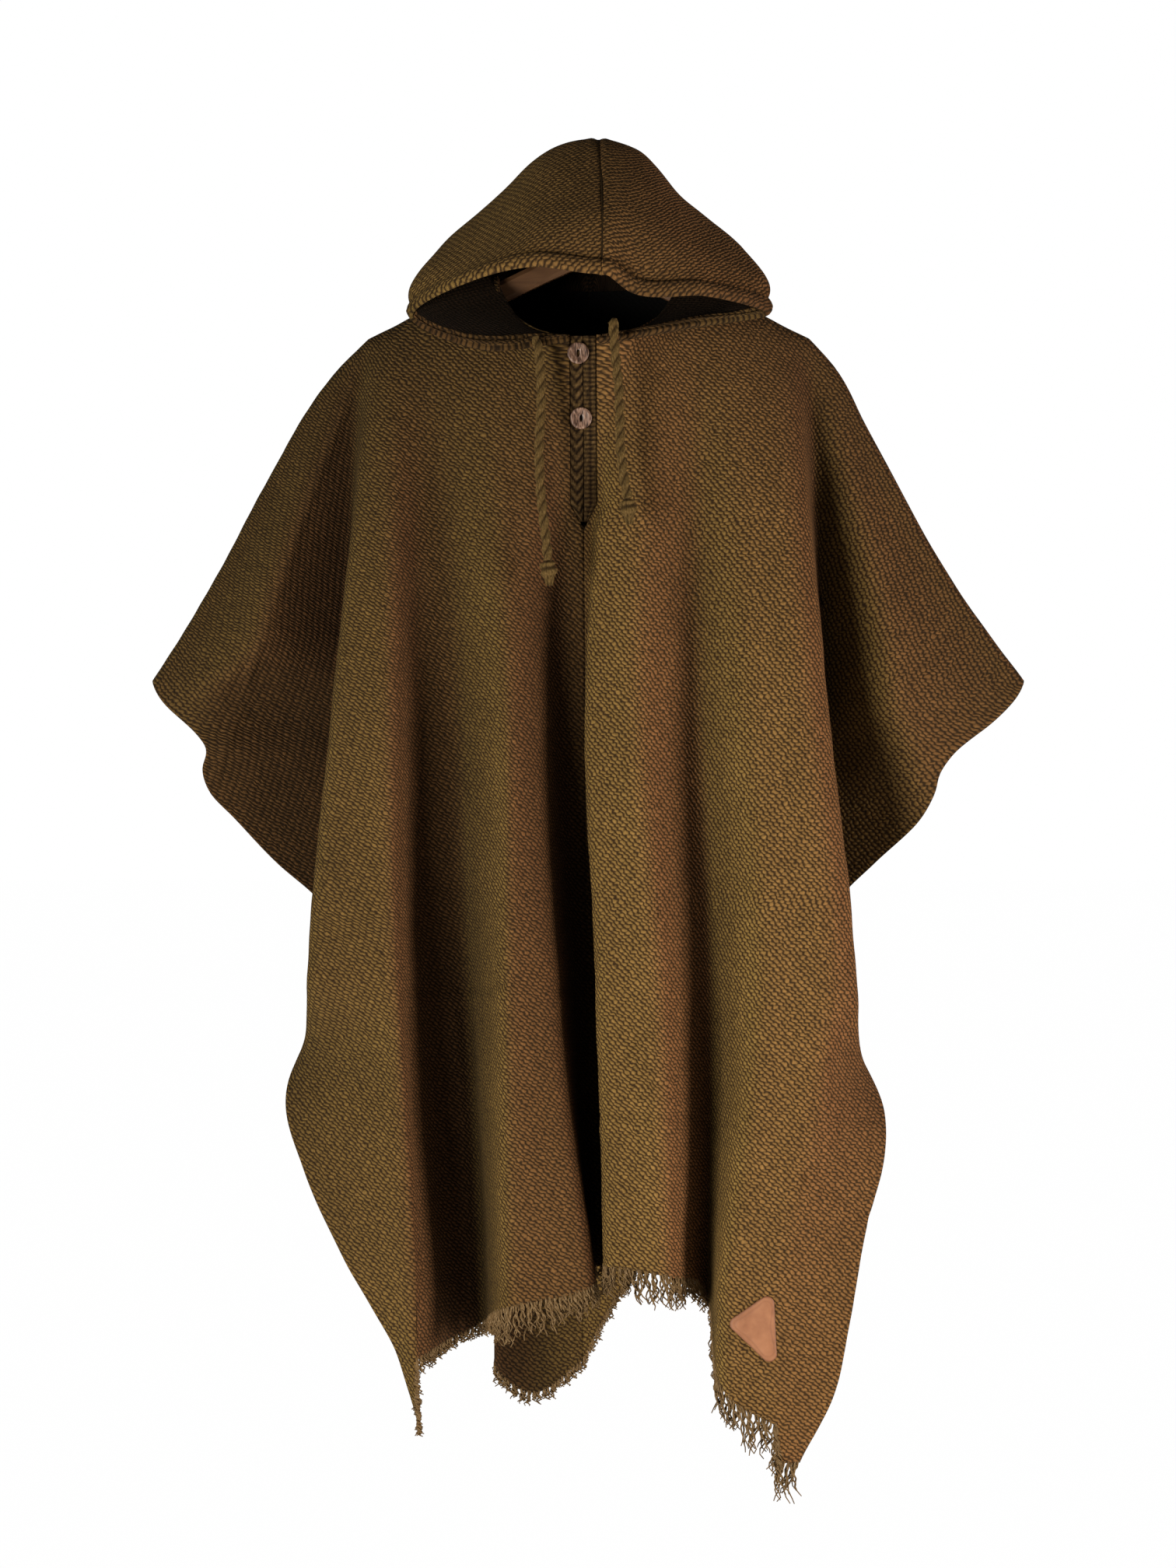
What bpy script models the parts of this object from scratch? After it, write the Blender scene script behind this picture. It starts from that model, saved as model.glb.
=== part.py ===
"""Hooded poncho of woven wool, hanging on a wooden clothes hanger.

Metres, +Z up. The origin is the saddle of the hanger's hook, where the whole thing hangs.
The front faces -Y, and +X is to the right of someone who looks at the front.

The cloth is two loom widths. Each runs from the front hem over a shoulder to the back hem,
and the two meet at the centre, where the neck slit is left open. A width is worked out as
level sections: at each height a chain of straight flanks runs from the selvedge through the
fold lines to the centre, and its corners are rounded.

The tables give widths and heights in millimetres as they look in the plane of the hanger, to
an eye VIEW_DISTANCE in front of it. true_place brings each point to its real place.
"""
import math

import bmesh
import bpy
import numpy as np
from mathutils import Vector
from mathutils.bvhtree import BVHTree

# Driving dimensions
CLOTH = 0.0028
SEAM_GAP = 0.0003
VIEW_DISTANCE = 3.0
VIEW_HEIGHT = -0.656

CHEST, WAIST, KNEE = -0.218, -0.530, -0.890
NECK_ACROSS, NECK_HEIGHT = 0.094, -0.134
CHIN_DEPTH, CHIN_HEIGHT = -0.075, -0.194
NAPE_DEPTH, NAPE_HEIGHT = 0.062, -0.150
NECK_QUARTER = 0.105
FOLD_ROUNDING = 0.013
SHOULDER_DROP = 0.045
SHOULDER_RADIUS, SHOULDER_TURN = 0.0085, 0.004

FRONT_ROWS, BACK_ROWS = 20, 15
NECK_COLUMNS, CHEST_COLUMNS, SLEEVE_COLUMNS = 8, 9, 17
CHEST_PLACE = 0.225
ROW_CROWDING, SHOULDER_ROW = 1.4, 0.005
SEAM_FLAT, SLIT_CLEAR = 0.009, -0.400

PLACKET_HALF = 0.0135
PLACKET_BOTTOM = -0.368
PLACKET_CLOSED = -0.394
BANDS_END = -0.384
BAND_THICK = 0.0045
BUTTON_ACROSS, BUTTON_THICK = 0.0216, 0.0032

ROPE_ACROSS = 0.010
KNOT_ACROSS, KNOT_TALL = 0.019, 0.024

CHANNEL_WIDE, CHANNEL_THICK = 0.014, 0.006

ARM_THICK, ARM_TALL = 0.012, 0.024
ARM_TIP_ACROSS = 0.216
ARM_BELOW_CLOTH = 0.0066
WIRE = 0.004
HOOK_RADIUS = 0.015

FRINGE_STRIP = 0.004
LOCK_SHARE, LOCK_TIP, LOCK_PITCH, FRINGE_CLOSE = 0.55, 0.0032, 0.010, 0.0065

PATCH_THICK = 0.0016

# Shoulder fold: height and width, from the hanger's tip to the wrist
SHOULDER_COLUMNS = ("height", "across")
SHOULDER = {
    "left": ((-199, -226), (-226, -254), (-282, -294), (-330, -322), (-426, -372), (-522, -429), (-551, -447)),
    "right": ((-199, 226), (-226, 251), (-282, 281), (-330, 306), (-426, 359), (-522, 425), (-551, 446)),
}

# Side selvedges below the wrist: height, width and depth
SELVEDGE_COLUMNS = ("height", "across", "depth")
SELVEDGE = {
    ("front", "left"): (
        (-551, -447, 0), (-570, -424, -8), (-594, -394, -22), (-618, -379, -34), (-642, -390, -30),
        (-666, -384, -22), (-690, -362, -12), (-738, -318, 5), (-773, -279, 15), (-834, -262, 28),
        (-906, -284, 2), (-978, -311, -38), (-1050, -294, -64), (-1146, -251, -86), (-1242, -197, -100),
        (-1317, -174, -104)),
    ("front", "right"): (
        (-551, 446, 0), (-570, 422, -8), (-594, 394, -18), (-618, 364, -26), (-642, 350, -30),
        (-666, 348, -28), (-690, 338, -20), (-738, 291, 2), (-770, 260, 15), (-834, 244, 28),
        (-914, 270, -6), (-997, 304, -62), (-1034, 304, -74), (-1113, 285, -90), (-1216, 267, -102),
        (-1286, 251, -108), (-1354, 216, -108)),
    ("back", "left"): (
        (-551, -447, 0), (-600, -385, 14), (-650, -345, 28), (-720, -295, 42), (-800, -252, 60),
        (-950, -238, 85), (-1100, -222, 95), (-1190, -205, 88)),
    ("back", "right"): (
        (-551, 446, 0), (-600, 380, 14), (-650, 335, 28), (-720, 285, 42), (-800, 240, 60),
        (-950, 240, 85), (-1100, 236, 95), (-1250, 215, 80)),
}

# Fold lines, from the selvedge to the centre seam. Width and depth are given at the chest,
# waist, knee and hem. "thread" is the warp thread that follows the fold, counted from the
# centre, and "fringe" its length there. A sleeve fold has none: it runs out into the selvedge
# at the height "ends".
FOLD_COLUMNS = ("name", "across_chest", "across_waist", "across_knee", "across_hem",
                "depth_chest", "depth_waist", "depth_knee", "depth_hem", "ends", "thread",
                "hem_height", "fringe")
FOLDS = {
    ("front", "left"): (
        ("sleeve ridge", -236, -342, -300, -300, -12, -64, -30, -20, -628, None, None, None),
        ("armpit valley", -226, -246, -262, -262, -9, 15, 28, 28, -890, None, None, None),
        ("side turn", -224, -261, -295, -302, -30, -74, -78, -60, -985, None, None, None),
        ("side ridge", -200, -203, -194, -176, -42, -104, -120, -122, None, 225, -1248, 14),
        ("side recess", -178, -180, -170, -146, -44, -64, -54, -52, None, 198, -1228, 14),
        ("side valley", -158, -134, -122, -110, -48, -54, -28, -20, None, 172, -1211, 14),
        ("chest ridge", -106, -86, -88, -88, -58, -108, -124, -124, None, 118, -1195, 34),
        ("chest turn", -46, -57, -32, 10, -68, -86, -94, -100, None, 52, -1172, 26),
        ("centre wall", -26, -32, -14, 0, -72, -40, 6, 10, None, 28, -1156, 20),
    ),
    ("front", "right"): (
        ("sleeve ridge", 229, 306, 300, 300, -12, -52, -30, -20, -700, None, None, None),
        ("armpit valley", 220, 238, 256, 260, -12, 8, 24, 28, -860, None, None, None),
        ("side turn", 214, 241, 281, 292, -36, -92, -104, -92, -1005, None, None, None),
        ("side ridge", 190, 222, 250, 192, -45, -110, -124, -122, None, 200, -1316, 40),
        ("side fold edge", 142, 158, 170, 133, -55, -100, -118, -118, None, 158, -1276, 36),
        ("side valley", 110, 106, 118, 118, -55, -66, -54, -42, None, 122, -1184, 20),
        ("chest ridge", 66, 50, 76, 84, -66, -106, -124, -128, None, 72, -1163, 32),
        ("chest turn", 24, -6, 6, 14, -71, -76, -96, -98, None, 36, -1152, 30),
        ("centre wall", 18, 8, 20, 26, -72, -36, 8, 10, None, 20, -1151, 20),
    ),
    ("back", "left"): (
        ("sleeve ridge", -236, -330, -300, -300, 10, 42, 40, 40, -650, None, None, None),
        ("side ridge", -190, -205, -200, -190, 36, 96, 120, 122, None, 205, -1182, 12),
        ("side valley", -138, -142, -140, -140, 44, 60, 62, 62, None, 150, -1176, 12),
        ("centre ridge", -95, -82, -76, -72, 52, 98, 112, 118, None, 104, -1190, 12),
        ("lobe edge", -62, -72, -92, -101, 56, 74, 56, 48, None, 64, -1256, 14),
        ("lobe", -32, -40, -52, -56, 60, 62, 40, 32, None, 32, -1282, 14),
    ),
    ("back", "right"): (
        ("sleeve ridge", 236, 330, 300, 300, 10, 42, 40, 40, -650, None, None, None),
        ("side ridge", 186, 196, 192, 186, 38, 100, 118, 112, None, 200, -1216, 12),
        ("side valley", 136, 130, 128, 128, 46, 58, 56, 56, None, 140, -1160, 12),
        ("centre ridge", 78, 66, 62, 58, 56, 102, 114, 116, None, 80, -1150, 12),
        ("centre wall", 26, 22, 20, 14, 61, 78, 82, 84, None, 26, -1206, 12),
    ),
}

# Centre seam: width and depth at the same four heights, where the hem crosses it, its fringe
CENTRE = {
    "front": (-6, -4, -1, 10, -73, -38, 8, 10, -1152, 18),
    "back": (0, 0, -2, -7, 62, 72, 66, 62, -1250, 12),
}
CORNER_FRINGE = {("front", "left"): 9, ("front", "right"): 40, ("back", "left"): 12, ("back", "right"): 12}
HEM_LEVEL = -1.180

# Hood arches from the face edge to the back: each runs from the crown seam over a top, a high,
# a side and a low point to the neckline, at neck_turn degrees round from the chin. The last
# arch is the neckline itself, from the nape to NAPE_TURN.
ARCH_COLUMNS = ("name", "seam_across", "seam_depth", "seam_height", "top_across", "top_depth",
                "top_height", "high_across", "high_depth", "high_height", "side_across",
                "side_depth", "side_height", "low_across", "low_depth", "low_height", "neck_turn")
ARCHES = {
    "left": (
        ("face", 13, -128, -131, 62, -124, -124, 122, -108, -139, 181, -60, -176, 110, -84, -206, 0),
        ("brow", 14, -96, -62, 48, -92, -72, 104, -78, -100, 182, -50, -150, 126, -55, -168, 40),
        ("crown", 10, -2, 7, 35, -2, -2, 94, -2, -53, 150, -4, -117, 124, 0, -124, 85),
        ("back", 2, 72, -44, 40, 70, -54, 86, 60, -80, 118, 40, -108, 100, 37, -124, 118),
    ),
    "right": (
        ("face", 13, -128, -131, 48, -124, -146, 122, -105, -149, 183, -58, -172, 106, -86, -182, 0),
        ("brow", 14, -96, -62, 52, -92, -70, 106, -78, -98, 183, -48, -146, 126, -55, -164, 40),
        ("crown", 10, -2, 7, 48, -2, -4, 95, -2, -53, 158, -4, -117, 126, 0, -124, 85),
        ("back", 2, 72, -44, 40, 70, -54, 86, 60, -80, 118, 40, -108, 100, 37, -124, 118),
    ),
}
NAPE_TURN = 145
HOOD_ROWS, HOOD_STEPS = 12, 14
HOOD_LIFT, HOOD_CLEAR = 0.0056, 0.0038

# Drawstring routes: width, height and depth, from the eyelet to the knot
ROPE_COLUMNS = ("across", "height", "depth")
ROPES = {
    "left": ((-54, -198, -92), (-50, -228, -96), (-49, -262, -98), (-51, -306, -103),
             (-49, -362, -108), (-44, -405, -112), (-42, -426, -113)),
    "right": ((25, -180, -94), (28, -221, -98), (31, -251, -101), (32, -290, -106),
              (34, -330, -110), (38, -350, -112), (40, -362, -113)),
}

BUTTON_PLACES = (("button_upper", -11, -213), ("button_lower", -8, -280))
PATCH_CORNERS = ((190, -1176), (141, -1210), (194, -1261))
PATCH_CORNER_RADIUS, PATCH_SIDES, PATCH_CLEAR = 0.007, 32, 0.0011

COLOURS = {
    "wool": ((0.105, 0.062, 0.026), 0.95),
    "band": ((0.085, 0.052, 0.022), 0.95),
    "rope": ((0.110, 0.068, 0.028), 0.95),
    "fringe": ((0.120, 0.075, 0.034), 0.95),
    "shell": ((0.300, 0.170, 0.110), 0.35),
    "leather": ((0.450, 0.190, 0.085), 0.60),
    "wood": ((0.300, 0.150, 0.065), 0.45),
    "steel": ((0.600, 0.600, 0.600), 0.25),
}


def clear_scene():
    for old in list(bpy.data.objects):
        bpy.data.objects.remove(old, do_unlink=True)


def finish(obj, kind):
    """Give the object its own material and smooth shading."""
    colour, roughness = COLOURS[kind]
    material = bpy.data.materials.new(obj.name)
    material.use_nodes = True
    shader = material.node_tree.nodes["Principled BSDF"]
    shader.inputs["Base Color"].default_value = (*colour, 1)
    shader.inputs["Roughness"].default_value = roughness
    shader.inputs["Metallic"].default_value = 1.0 if kind == "steel" else 0.0
    obj.data.materials.append(material)
    return obj


def mesh_object(name, points, faces, kind):
    mesh = bpy.data.meshes.new(name)
    mesh.from_pydata([tuple(p) for p in points], [], [tuple(f) for f in faces])
    shape = bmesh.new()
    shape.from_mesh(mesh)
    bmesh.ops.recalc_face_normals(shape, faces=shape.faces)
    shape.to_mesh(mesh)
    shape.free()
    obj = bpy.data.objects.new(name, mesh)
    bpy.context.collection.objects.link(obj)
    mesh.shade_smooth()
    mesh.set_sharp_from_angle(angle=math.radians(50))
    return finish(obj, kind)


def true_place(points):
    """What is nearer the eye looks larger, so it is drawn in towards the eye's own line."""
    points = np.array(points, float)
    near = 1 + points[..., 1] / VIEW_DISTANCE
    points[..., 0] *= near
    points[..., 2] = VIEW_HEIGHT + (points[..., 2] - VIEW_HEIGHT) * near
    return points


def smooth_through(at, knots, values):
    """Smooth curve through the knots (rising), with slopes from the neighbouring knots."""
    knots, values = np.asarray(knots, float), np.asarray(values, float)
    slopes = np.gradient(values, knots, axis=0)
    at = np.clip(at, knots[0], knots[-1])
    i = np.clip(np.searchsorted(knots, at, side="right") - 1, 0, len(knots) - 2)
    span = knots[i + 1] - knots[i]
    t = (at - knots[i]) / span
    if values.ndim > 1:
        t, span = t[..., None], span[..., None]
    blend = t * t * (3 - 2 * t)
    return (values[i] * (1 - blend) + values[i + 1] * blend
            + slopes[i] * span * t * (1 - t) ** 2 - slopes[i + 1] * span * t * t * (1 - t))


def by_height(at, rows, column):
    """Read a column of a table whose first column is a height that falls from row to row."""
    table = np.array(rows, float)[::-1] / 1000
    return smooth_through(at, table[:, 0], table[:, column])


def centre_line(face, side, heights):
    """Width and depth of a width's centre edge: the seam, opened for the neck slit."""
    row = np.array(CENTRE[face], float) / 1000
    levels = [HEM_LEVEL, KNEE, WAIST, CHEST]
    across = smooth_through(heights, levels, row[3::-1])
    depth = smooth_through(heights, levels, row[7:3:-1])
    half = np.full_like(across, SEAM_GAP / 2)
    if face == "front":
        opened = np.clip((heights - PLACKET_CLOSED) / (PLACKET_BOTTOM - PLACKET_CLOSED), 0, 1)
        half += (PLACKET_HALF + SEAM_GAP) * opened
    return across + (half if side == "right" else -half), depth


def edge_line(face, side, heights):
    """Width and depth of the outer edge: the shoulder fold, and below the wrist the selvedge."""
    wrist = SHOULDER[side][-1][0] / 1000
    selvedge = SELVEDGE[face, side]
    above = by_height(heights, SHOULDER[side], 1)
    across = np.where(heights > wrist, above, by_height(heights, selvedge, 1))
    depth = np.where(heights > wrist, 0.0, by_height(heights, selvedge, 2))
    return across, depth


def section(face, side, height, count=160):
    """Points along one level section, evenly spaced from the outer edge to the centre."""
    at = np.array([height])
    edge = np.concatenate(edge_line(face, side, at))
    levels = [HEM_LEVEL, KNEE, WAIST, CHEST]
    centre = np.concatenate(centre_line(face, side, at))
    sign = 1 if side == "right" else -1
    chain = [edge]
    for row in FOLDS[face, side]:
        values = np.array(row[1:9], float) / 1000
        point = np.array([smooth_through(at, levels, values[3::-1])[0],
                          smooth_through(at, levels, values[7:3:-1])[0]])
        if row[9] is not None:
            left = np.clip((height * 1000 - row[9]) / 130, 0, 1)
            left = left * left * (3 - 2 * left)
            point = edge + (point - edge) * left
        elif height > SLIT_CLEAR:
            point[0] = sign * max(sign * point[0], sign * centre[0] + SEAM_FLAT)
        chain.append(point)
    chain.append(centre)
    chain = np.array(chain)
    run = np.concatenate([[0], np.cumsum(np.hypot(*np.diff(chain, axis=0).T))])
    even = np.linspace(0, run[-1], count)
    points = np.stack([np.interp(even, run, chain[:, k]) for k in (0, 1)], axis=1)
    reach = max(1, int(round(2.5 * FOLD_ROUNDING / (run[-1] / count))))
    steps = np.arange(-reach, reach + 1) * run[-1] / count
    weights = np.exp(-0.5 * (steps / FOLD_ROUNDING) ** 2)
    weights /= weights.sum()
    padded = np.concatenate([2 * points[0] - points[reach:0:-1], points,
                             2 * points[-1] - points[-2:-reach - 2:-1]])
    rounded = np.stack([np.convolve(padded[:, k], weights, mode="valid") for k in (0, 1)], axis=1)
    return rounded, run / run[-1]


def top_edge(face, side):
    """The cloth's own coordinate along its top, and where the neckline and shoulder run."""
    sign = 1 if side == "right" else -1
    turn = np.linspace(0, math.pi / 2, 13)[:-1]
    start = centre_line(face, side, np.array([CHEST]))[0][0]
    low_depth, low_height = (CHIN_DEPTH, CHIN_HEIGHT) if face == "front" else (NAPE_DEPTH, NAPE_HEIGHT)
    neck = np.stack([start + (sign * NECK_ACROSS - start) * np.sin(turn),
                     low_depth * np.cos(turn),
                     NECK_HEIGHT + (low_height - NECK_HEIGHT) * np.cos(turn)], axis=1)
    wrist = SHOULDER[side][-1][0] / 1000
    fall = np.linspace(SHOULDER[side][0][0] / 1000, wrist, 40)
    across = by_height(fall, SHOULDER[side], 1)
    slope = np.stack([across, np.zeros_like(fall), fall], axis=1)
    shoulder = np.concatenate([[[sign * NECK_ACROSS, 0, NECK_HEIGHT]], slope])
    run = NECK_QUARTER + np.concatenate([[0], np.cumsum(np.linalg.norm(np.diff(shoulder, axis=0), axis=1))])
    points = np.concatenate([neck, shoulder])
    places = np.concatenate([turn / (math.pi / 2) * NECK_QUARTER, run])
    return places, points


def width_columns(places):
    """Column places: one close to the centre seam, then even ones, with one at the neck."""
    inner = np.linspace(0, NECK_QUARTER, NECK_COLUMNS)
    inner[1] = SEAM_FLAT
    chest = np.linspace(NECK_QUARTER, CHEST_PLACE, CHEST_COLUMNS + 1)[1:]
    sleeve = np.linspace(CHEST_PLACE, places[-1], SLEEVE_COLUMNS + 1)[1:]
    return np.concatenate([inner, chest, sleeve])


def hem_values(face, side, columns, full, column, at_centre, at_corner):
    """Spread a value given at the fold lines, the centre and the corner over the columns."""
    rows = [r for r in FOLDS[face, side][::-1] if r[10] is not None]
    knots = [0] + [r[10] / 1000 for r in rows] + [full]
    values = [at_centre] + [r[column] for r in rows] + [at_corner]
    return smooth_through(columns, knots, np.array(values) / 1000)


def row_shares(face, rows, top, bottom):
    """Shares of the way down: crowded at the shoulder, with rows at both ends of the slit's V."""
    share = np.linspace(0, 1, rows) ** ROW_CROWDING
    if face == "front":
        ends = (np.array([PLACKET_BOTTOM, PLACKET_CLOSED]) - top) / (bottom - top)
        share[np.argmin(np.abs(share - ends[1]))] = ends[1]
        share = np.sort(np.append(share, ends[0]))
    return np.insert(share, 1, SHOULDER_ROW)


def panel_grid(face, side, columns, rows):
    """Grid of points of a front or back: rows run from the top edge down to the hem.

    A column keeps its place between the fold lines from section to section, so the folds
    run along the columns, and outside the side ridge the columns share what cloth there is.
    """
    places, top = top_edge(face, side)
    full = places[-1]
    start = np.stack([np.interp(columns, places, top[:, k]) for k in range(3)], axis=1)
    shoulder = places >= NECK_QUARTER
    lowest = min(SELVEDGE[face, side][-1][0] / 1000, HEM_LEVEL) - 0.12
    levels = np.linspace(lowest, CHEST, 160)
    followed = [k for k, r in enumerate(FOLDS[face, side]) if r[10] is not None][::-1]
    threads = [FOLDS[face, side][k][10] / 1000 for k in followed]
    shapes, shares = [], []
    for level in levels:
        shape, run = section(face, side, level)
        outer = np.interp(-level, -top[shoulder, 2], places[shoulder])
        shares.append(np.interp(columns, [0] + threads + [outer], [1] + [run[k + 1] for k in followed] + [0]))
        shapes.append(shape)
    shapes, shares = np.array(shapes), np.array(shares)

    hem = hem_values(face, side, columns, full, 11, CENTRE[face][8], SELVEDGE[face, side][-1][0])
    share = row_shares(face, rows, start[0, 2], hem[0])[:, None]
    heights = start[None, :, 2] + (hem - start[:, 2])[None, :] * share
    v = (np.clip(heights, lowest, CHEST) - lowest) / (levels[1] - levels[0])
    j = np.clip(v.astype(int), 0, len(levels) - 2)
    v = v - j
    column = np.arange(len(columns))[None, :]
    u = (shares[j, column] * (1 - v) + shares[j + 1, column] * v) * (shapes.shape[1] - 1)
    i = np.clip(u.astype(int), 0, shapes.shape[1] - 2)
    u, v = (u - i)[..., None], v[..., None]
    flat = ((shapes[j, i] * (1 - u) + shapes[j, i + 1] * u) * (1 - v)
            + (shapes[j + 1, i] * (1 - u) + shapes[j + 1, i + 1] * u) * v)
    below = start[None, :, 2] - heights
    drop = (1 - np.exp(-below / SHOULDER_DROP))[..., None]
    rest = SHOULDER_RADIUS * np.clip(columns / NECK_QUARTER, 0, 1) ** 3 * (1 if face == "back" else -1)
    grid = np.empty(heights.shape + (3,))
    grid[..., :2] = start[None, :, :2] * (1 - drop) + flat * drop
    grid[..., 1] += rest * (1 - np.exp(-below / SHOULDER_TURN)) * (1 - drop[..., 0])
    grid[..., 2] = heights
    edge_across, _ = centre_line(face, side, np.minimum(heights[:, 0], CHEST))
    grid[:, 0, 0] = edge_across
    grid[:, 1, 1] = grid[:, 0, 1]
    return true_place(grid)


def grid_faces(rows, columns, first=0):
    index = first + np.arange(rows * columns).reshape(rows, columns)
    return np.stack([index[:-1, :-1], index[1:, :-1], index[1:, 1:], index[:-1, 1:]], axis=-1).reshape(-1, 4)


def wall(name, points, faces, thick, kind, level_edge=None):
    """Closed wall round a middle surface: each point is moved half the thickness both ways.

    Points in level_edge lie on a seam with a mirror piece, so they move with no sideways part.
    """
    points, faces = np.asarray(points, float), np.asarray(faces)
    a, b, c, d = (points[faces[:, k]] for k in range(4))
    face_normals = np.cross(c - a, d - b)
    normals = np.zeros_like(points)
    for k in range(4):
        np.add.at(normals, faces[:, k], face_normals)
    if level_edge is not None:
        normals[level_edge, 0] = 0
    normals /= np.linalg.norm(normals, axis=1, keepdims=True)
    shift = normals * (np.broadcast_to(thick, len(points)) / 2)[:, None]
    count = len(points)
    edges = np.concatenate([faces[:, [k, (k + 1) % 4]] for k in range(4)])
    keys = {tuple(e) for e in edges.tolist()}
    border = [(p, q) for p, q in keys if (q, p) not in keys]
    sides = [(q, p, p + count, q + count) for p, q in border]
    short = np.linalg.norm(c - a, axis=1) < np.linalg.norm(d - b, axis=1)
    turned = np.where(short[:, None], faces, np.roll(faces, -1, axis=1))
    skin = np.concatenate([turned[:, :3], turned[:, [0, 2, 3]]])
    mesh_object(name, np.concatenate([points + shift, points - shift]),
                skin.tolist() + (skin[:, ::-1] + count).tolist() + sides, kind)
    return normals


def loom_width(side):
    """One loom width: front and back grids joined along the shoulder, parted at the neck."""
    places, _ = top_edge("front", side)
    columns = width_columns(places)
    front = panel_grid("front", side, columns, FRONT_ROWS)
    back = panel_grid("back", side, columns, BACK_ROWS)
    neck = NECK_COLUMNS - 1
    count = len(columns)
    points = np.concatenate([front.reshape(-1, 3), back.reshape(-1, 3)])
    front_faces = grid_faces(*front.shape[:2])
    back_faces = grid_faces(*back.shape[:2], first=front.shape[0] * count)[:, ::-1]
    faces = np.concatenate([front_faces, back_faces])
    shared = np.arange(len(points))
    first_back = front.shape[0] * count
    shared[first_back + neck:first_back + count] = np.arange(neck, count)
    faces = shared[faces]
    used = np.unique(faces)
    renumber = np.full(len(points), -1)
    renumber[used] = np.arange(len(used))
    faces, points = renumber[faces], points[used]
    if side == "left":
        faces = faces[:, ::-1]
    seam = [r * count for r in range(front.shape[0])] + [first_back + r * count for r in range(back.shape[0])]
    normals = wall("width_" + side, points, faces, CLOTH, "wool", level_edge=renumber[seam])
    for face, grid, last in (("front", front, first_back), ("back", back, len(renumber))):
        hem = renumber[np.arange(last - count, last)]
        lengths = hem_values(face, side, columns, places[-1], 12, CENTRE[face][9], CORNER_FRINGE[face, side])
        apart = np.linalg.norm(np.diff(grid[-1], axis=0), axis=1)
        held = NECK_COLUMNS + int(np.argmax(np.append(apart[NECK_COLUMNS:], 0) < FRINGE_CLOSE)) + 1
        fringe("fringe_%s_%s" % (face, side), grid[-1, 1:held], grid[-2, 1:held],
               normals[hem][1:held], lengths[1:], last)


def neck_point(turn, side):
    """Neckline at a turn from the chin (0) over the shoulder (90) to the nape (180 degrees)."""
    sign = 1 if side == "right" else -1
    angle = math.radians(turn)
    start = centre_line("front", side, np.array([CHEST]))[0][0] if turn < 90 else sign * SEAM_GAP / 2
    low_depth, low_height = (CHIN_DEPTH, CHIN_HEIGHT) if turn < 90 else (NAPE_DEPTH, NAPE_HEIGHT)
    return np.array([start + (sign * NECK_ACROSS - start) * math.sin(angle),
                     low_depth * abs(math.cos(angle)) - HOOD_LIFT * math.cos(angle),
                     NECK_HEIGHT + (low_height - NECK_HEIGHT) * abs(math.cos(angle))
                     + HOOD_LIFT * (0.5 + 0.9 * math.sin(angle))])


def hood_grid(side, rows, steps):
    """Grid of a hood half: rows run from the face edge to the nape, steps from seam to neck."""
    sign = 1 if side == "right" else -1
    arches = []
    for row in ARCHES[side]:
        spots = np.array(row[1:16], float).reshape(5, 3) / 1000
        spots[1:, 0] *= sign
        spots[0, 0] += sign * SEAM_GAP / 2
        ghost = spots[1] * (-1, 1, 1) + (2 * spots[0, 0], 0, 0)
        chain = np.vstack([ghost, spots, neck_point(row[16], side)])
        run = np.concatenate([[0], np.cumsum(np.linalg.norm(np.diff(chain, axis=0), axis=1))])
        even = run[1] + np.linspace(0, 1, steps + 1) * (run[-1] - run[1])
        arches.append(smooth_through(even, run, chain))
    arches.append([neck_point(turn, side) for turn in np.linspace(180, NAPE_TURN, steps + 1)])
    arches = np.array(arches)
    knots = np.linspace(0, 1, len(arches))
    at = np.linspace(0, 1, rows + 1)
    return true_place(smooth_through(at, knots, arches.reshape(len(arches), -1)).reshape(rows + 1, steps + 1, 3))


def skin_tree(name):
    """Search tree over the skin of a solid that is already built."""
    mesh = bpy.data.objects[name].data
    return BVHTree.FromPolygons([v.co for v in mesh.vertices], [tuple(f.vertices) for f in mesh.polygons])


def kept_clear(grid, tree, gap):
    """Points of a grid that lie nearer a solid's skin than the gap, or in it, are moved out."""
    for spot in grid.reshape(-1, 3):
        hit, normal, _, distance = tree.find_nearest(Vector(spot))
        away = Vector(spot) - hit
        if distance < gap:
            spot[:] = hit + (normal if away.dot(normal) < 0 else away.normalized()) * gap
    return grid


def hood(side):
    """Hood half, its face edge rolled over into the drawstring channel."""
    grid = hood_grid(side, HOOD_ROWS, HOOD_STEPS)
    kept_clear(grid, skin_tree("width_" + side), HOOD_CLEAR)
    step = np.linalg.norm(grid[1, HOOD_STEPS // 2] - grid[0, HOOD_STEPS // 2])
    channel = grid[0] + (grid[1] - grid[0]) * min(0.6, CHANNEL_WIDE / step)
    middle = (grid[0] + channel) / 2
    full = np.concatenate([grid[:1], middle[None], channel[None], grid[1:]])
    thick = np.full(full.shape[:2], CLOTH)
    thick[0], thick[1] = CHANNEL_THICK * 0.5, CHANNEL_THICK
    faces = grid_faces(full.shape[0], full.shape[1])
    if side == "left":
        faces = faces[:, ::-1]
    seam = np.arange(full.shape[0]) * full.shape[1]
    wall("hood_" + side, full.reshape(-1, 3), faces, thick.ravel(), "wool", level_edge=seam)
    return grid


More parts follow.
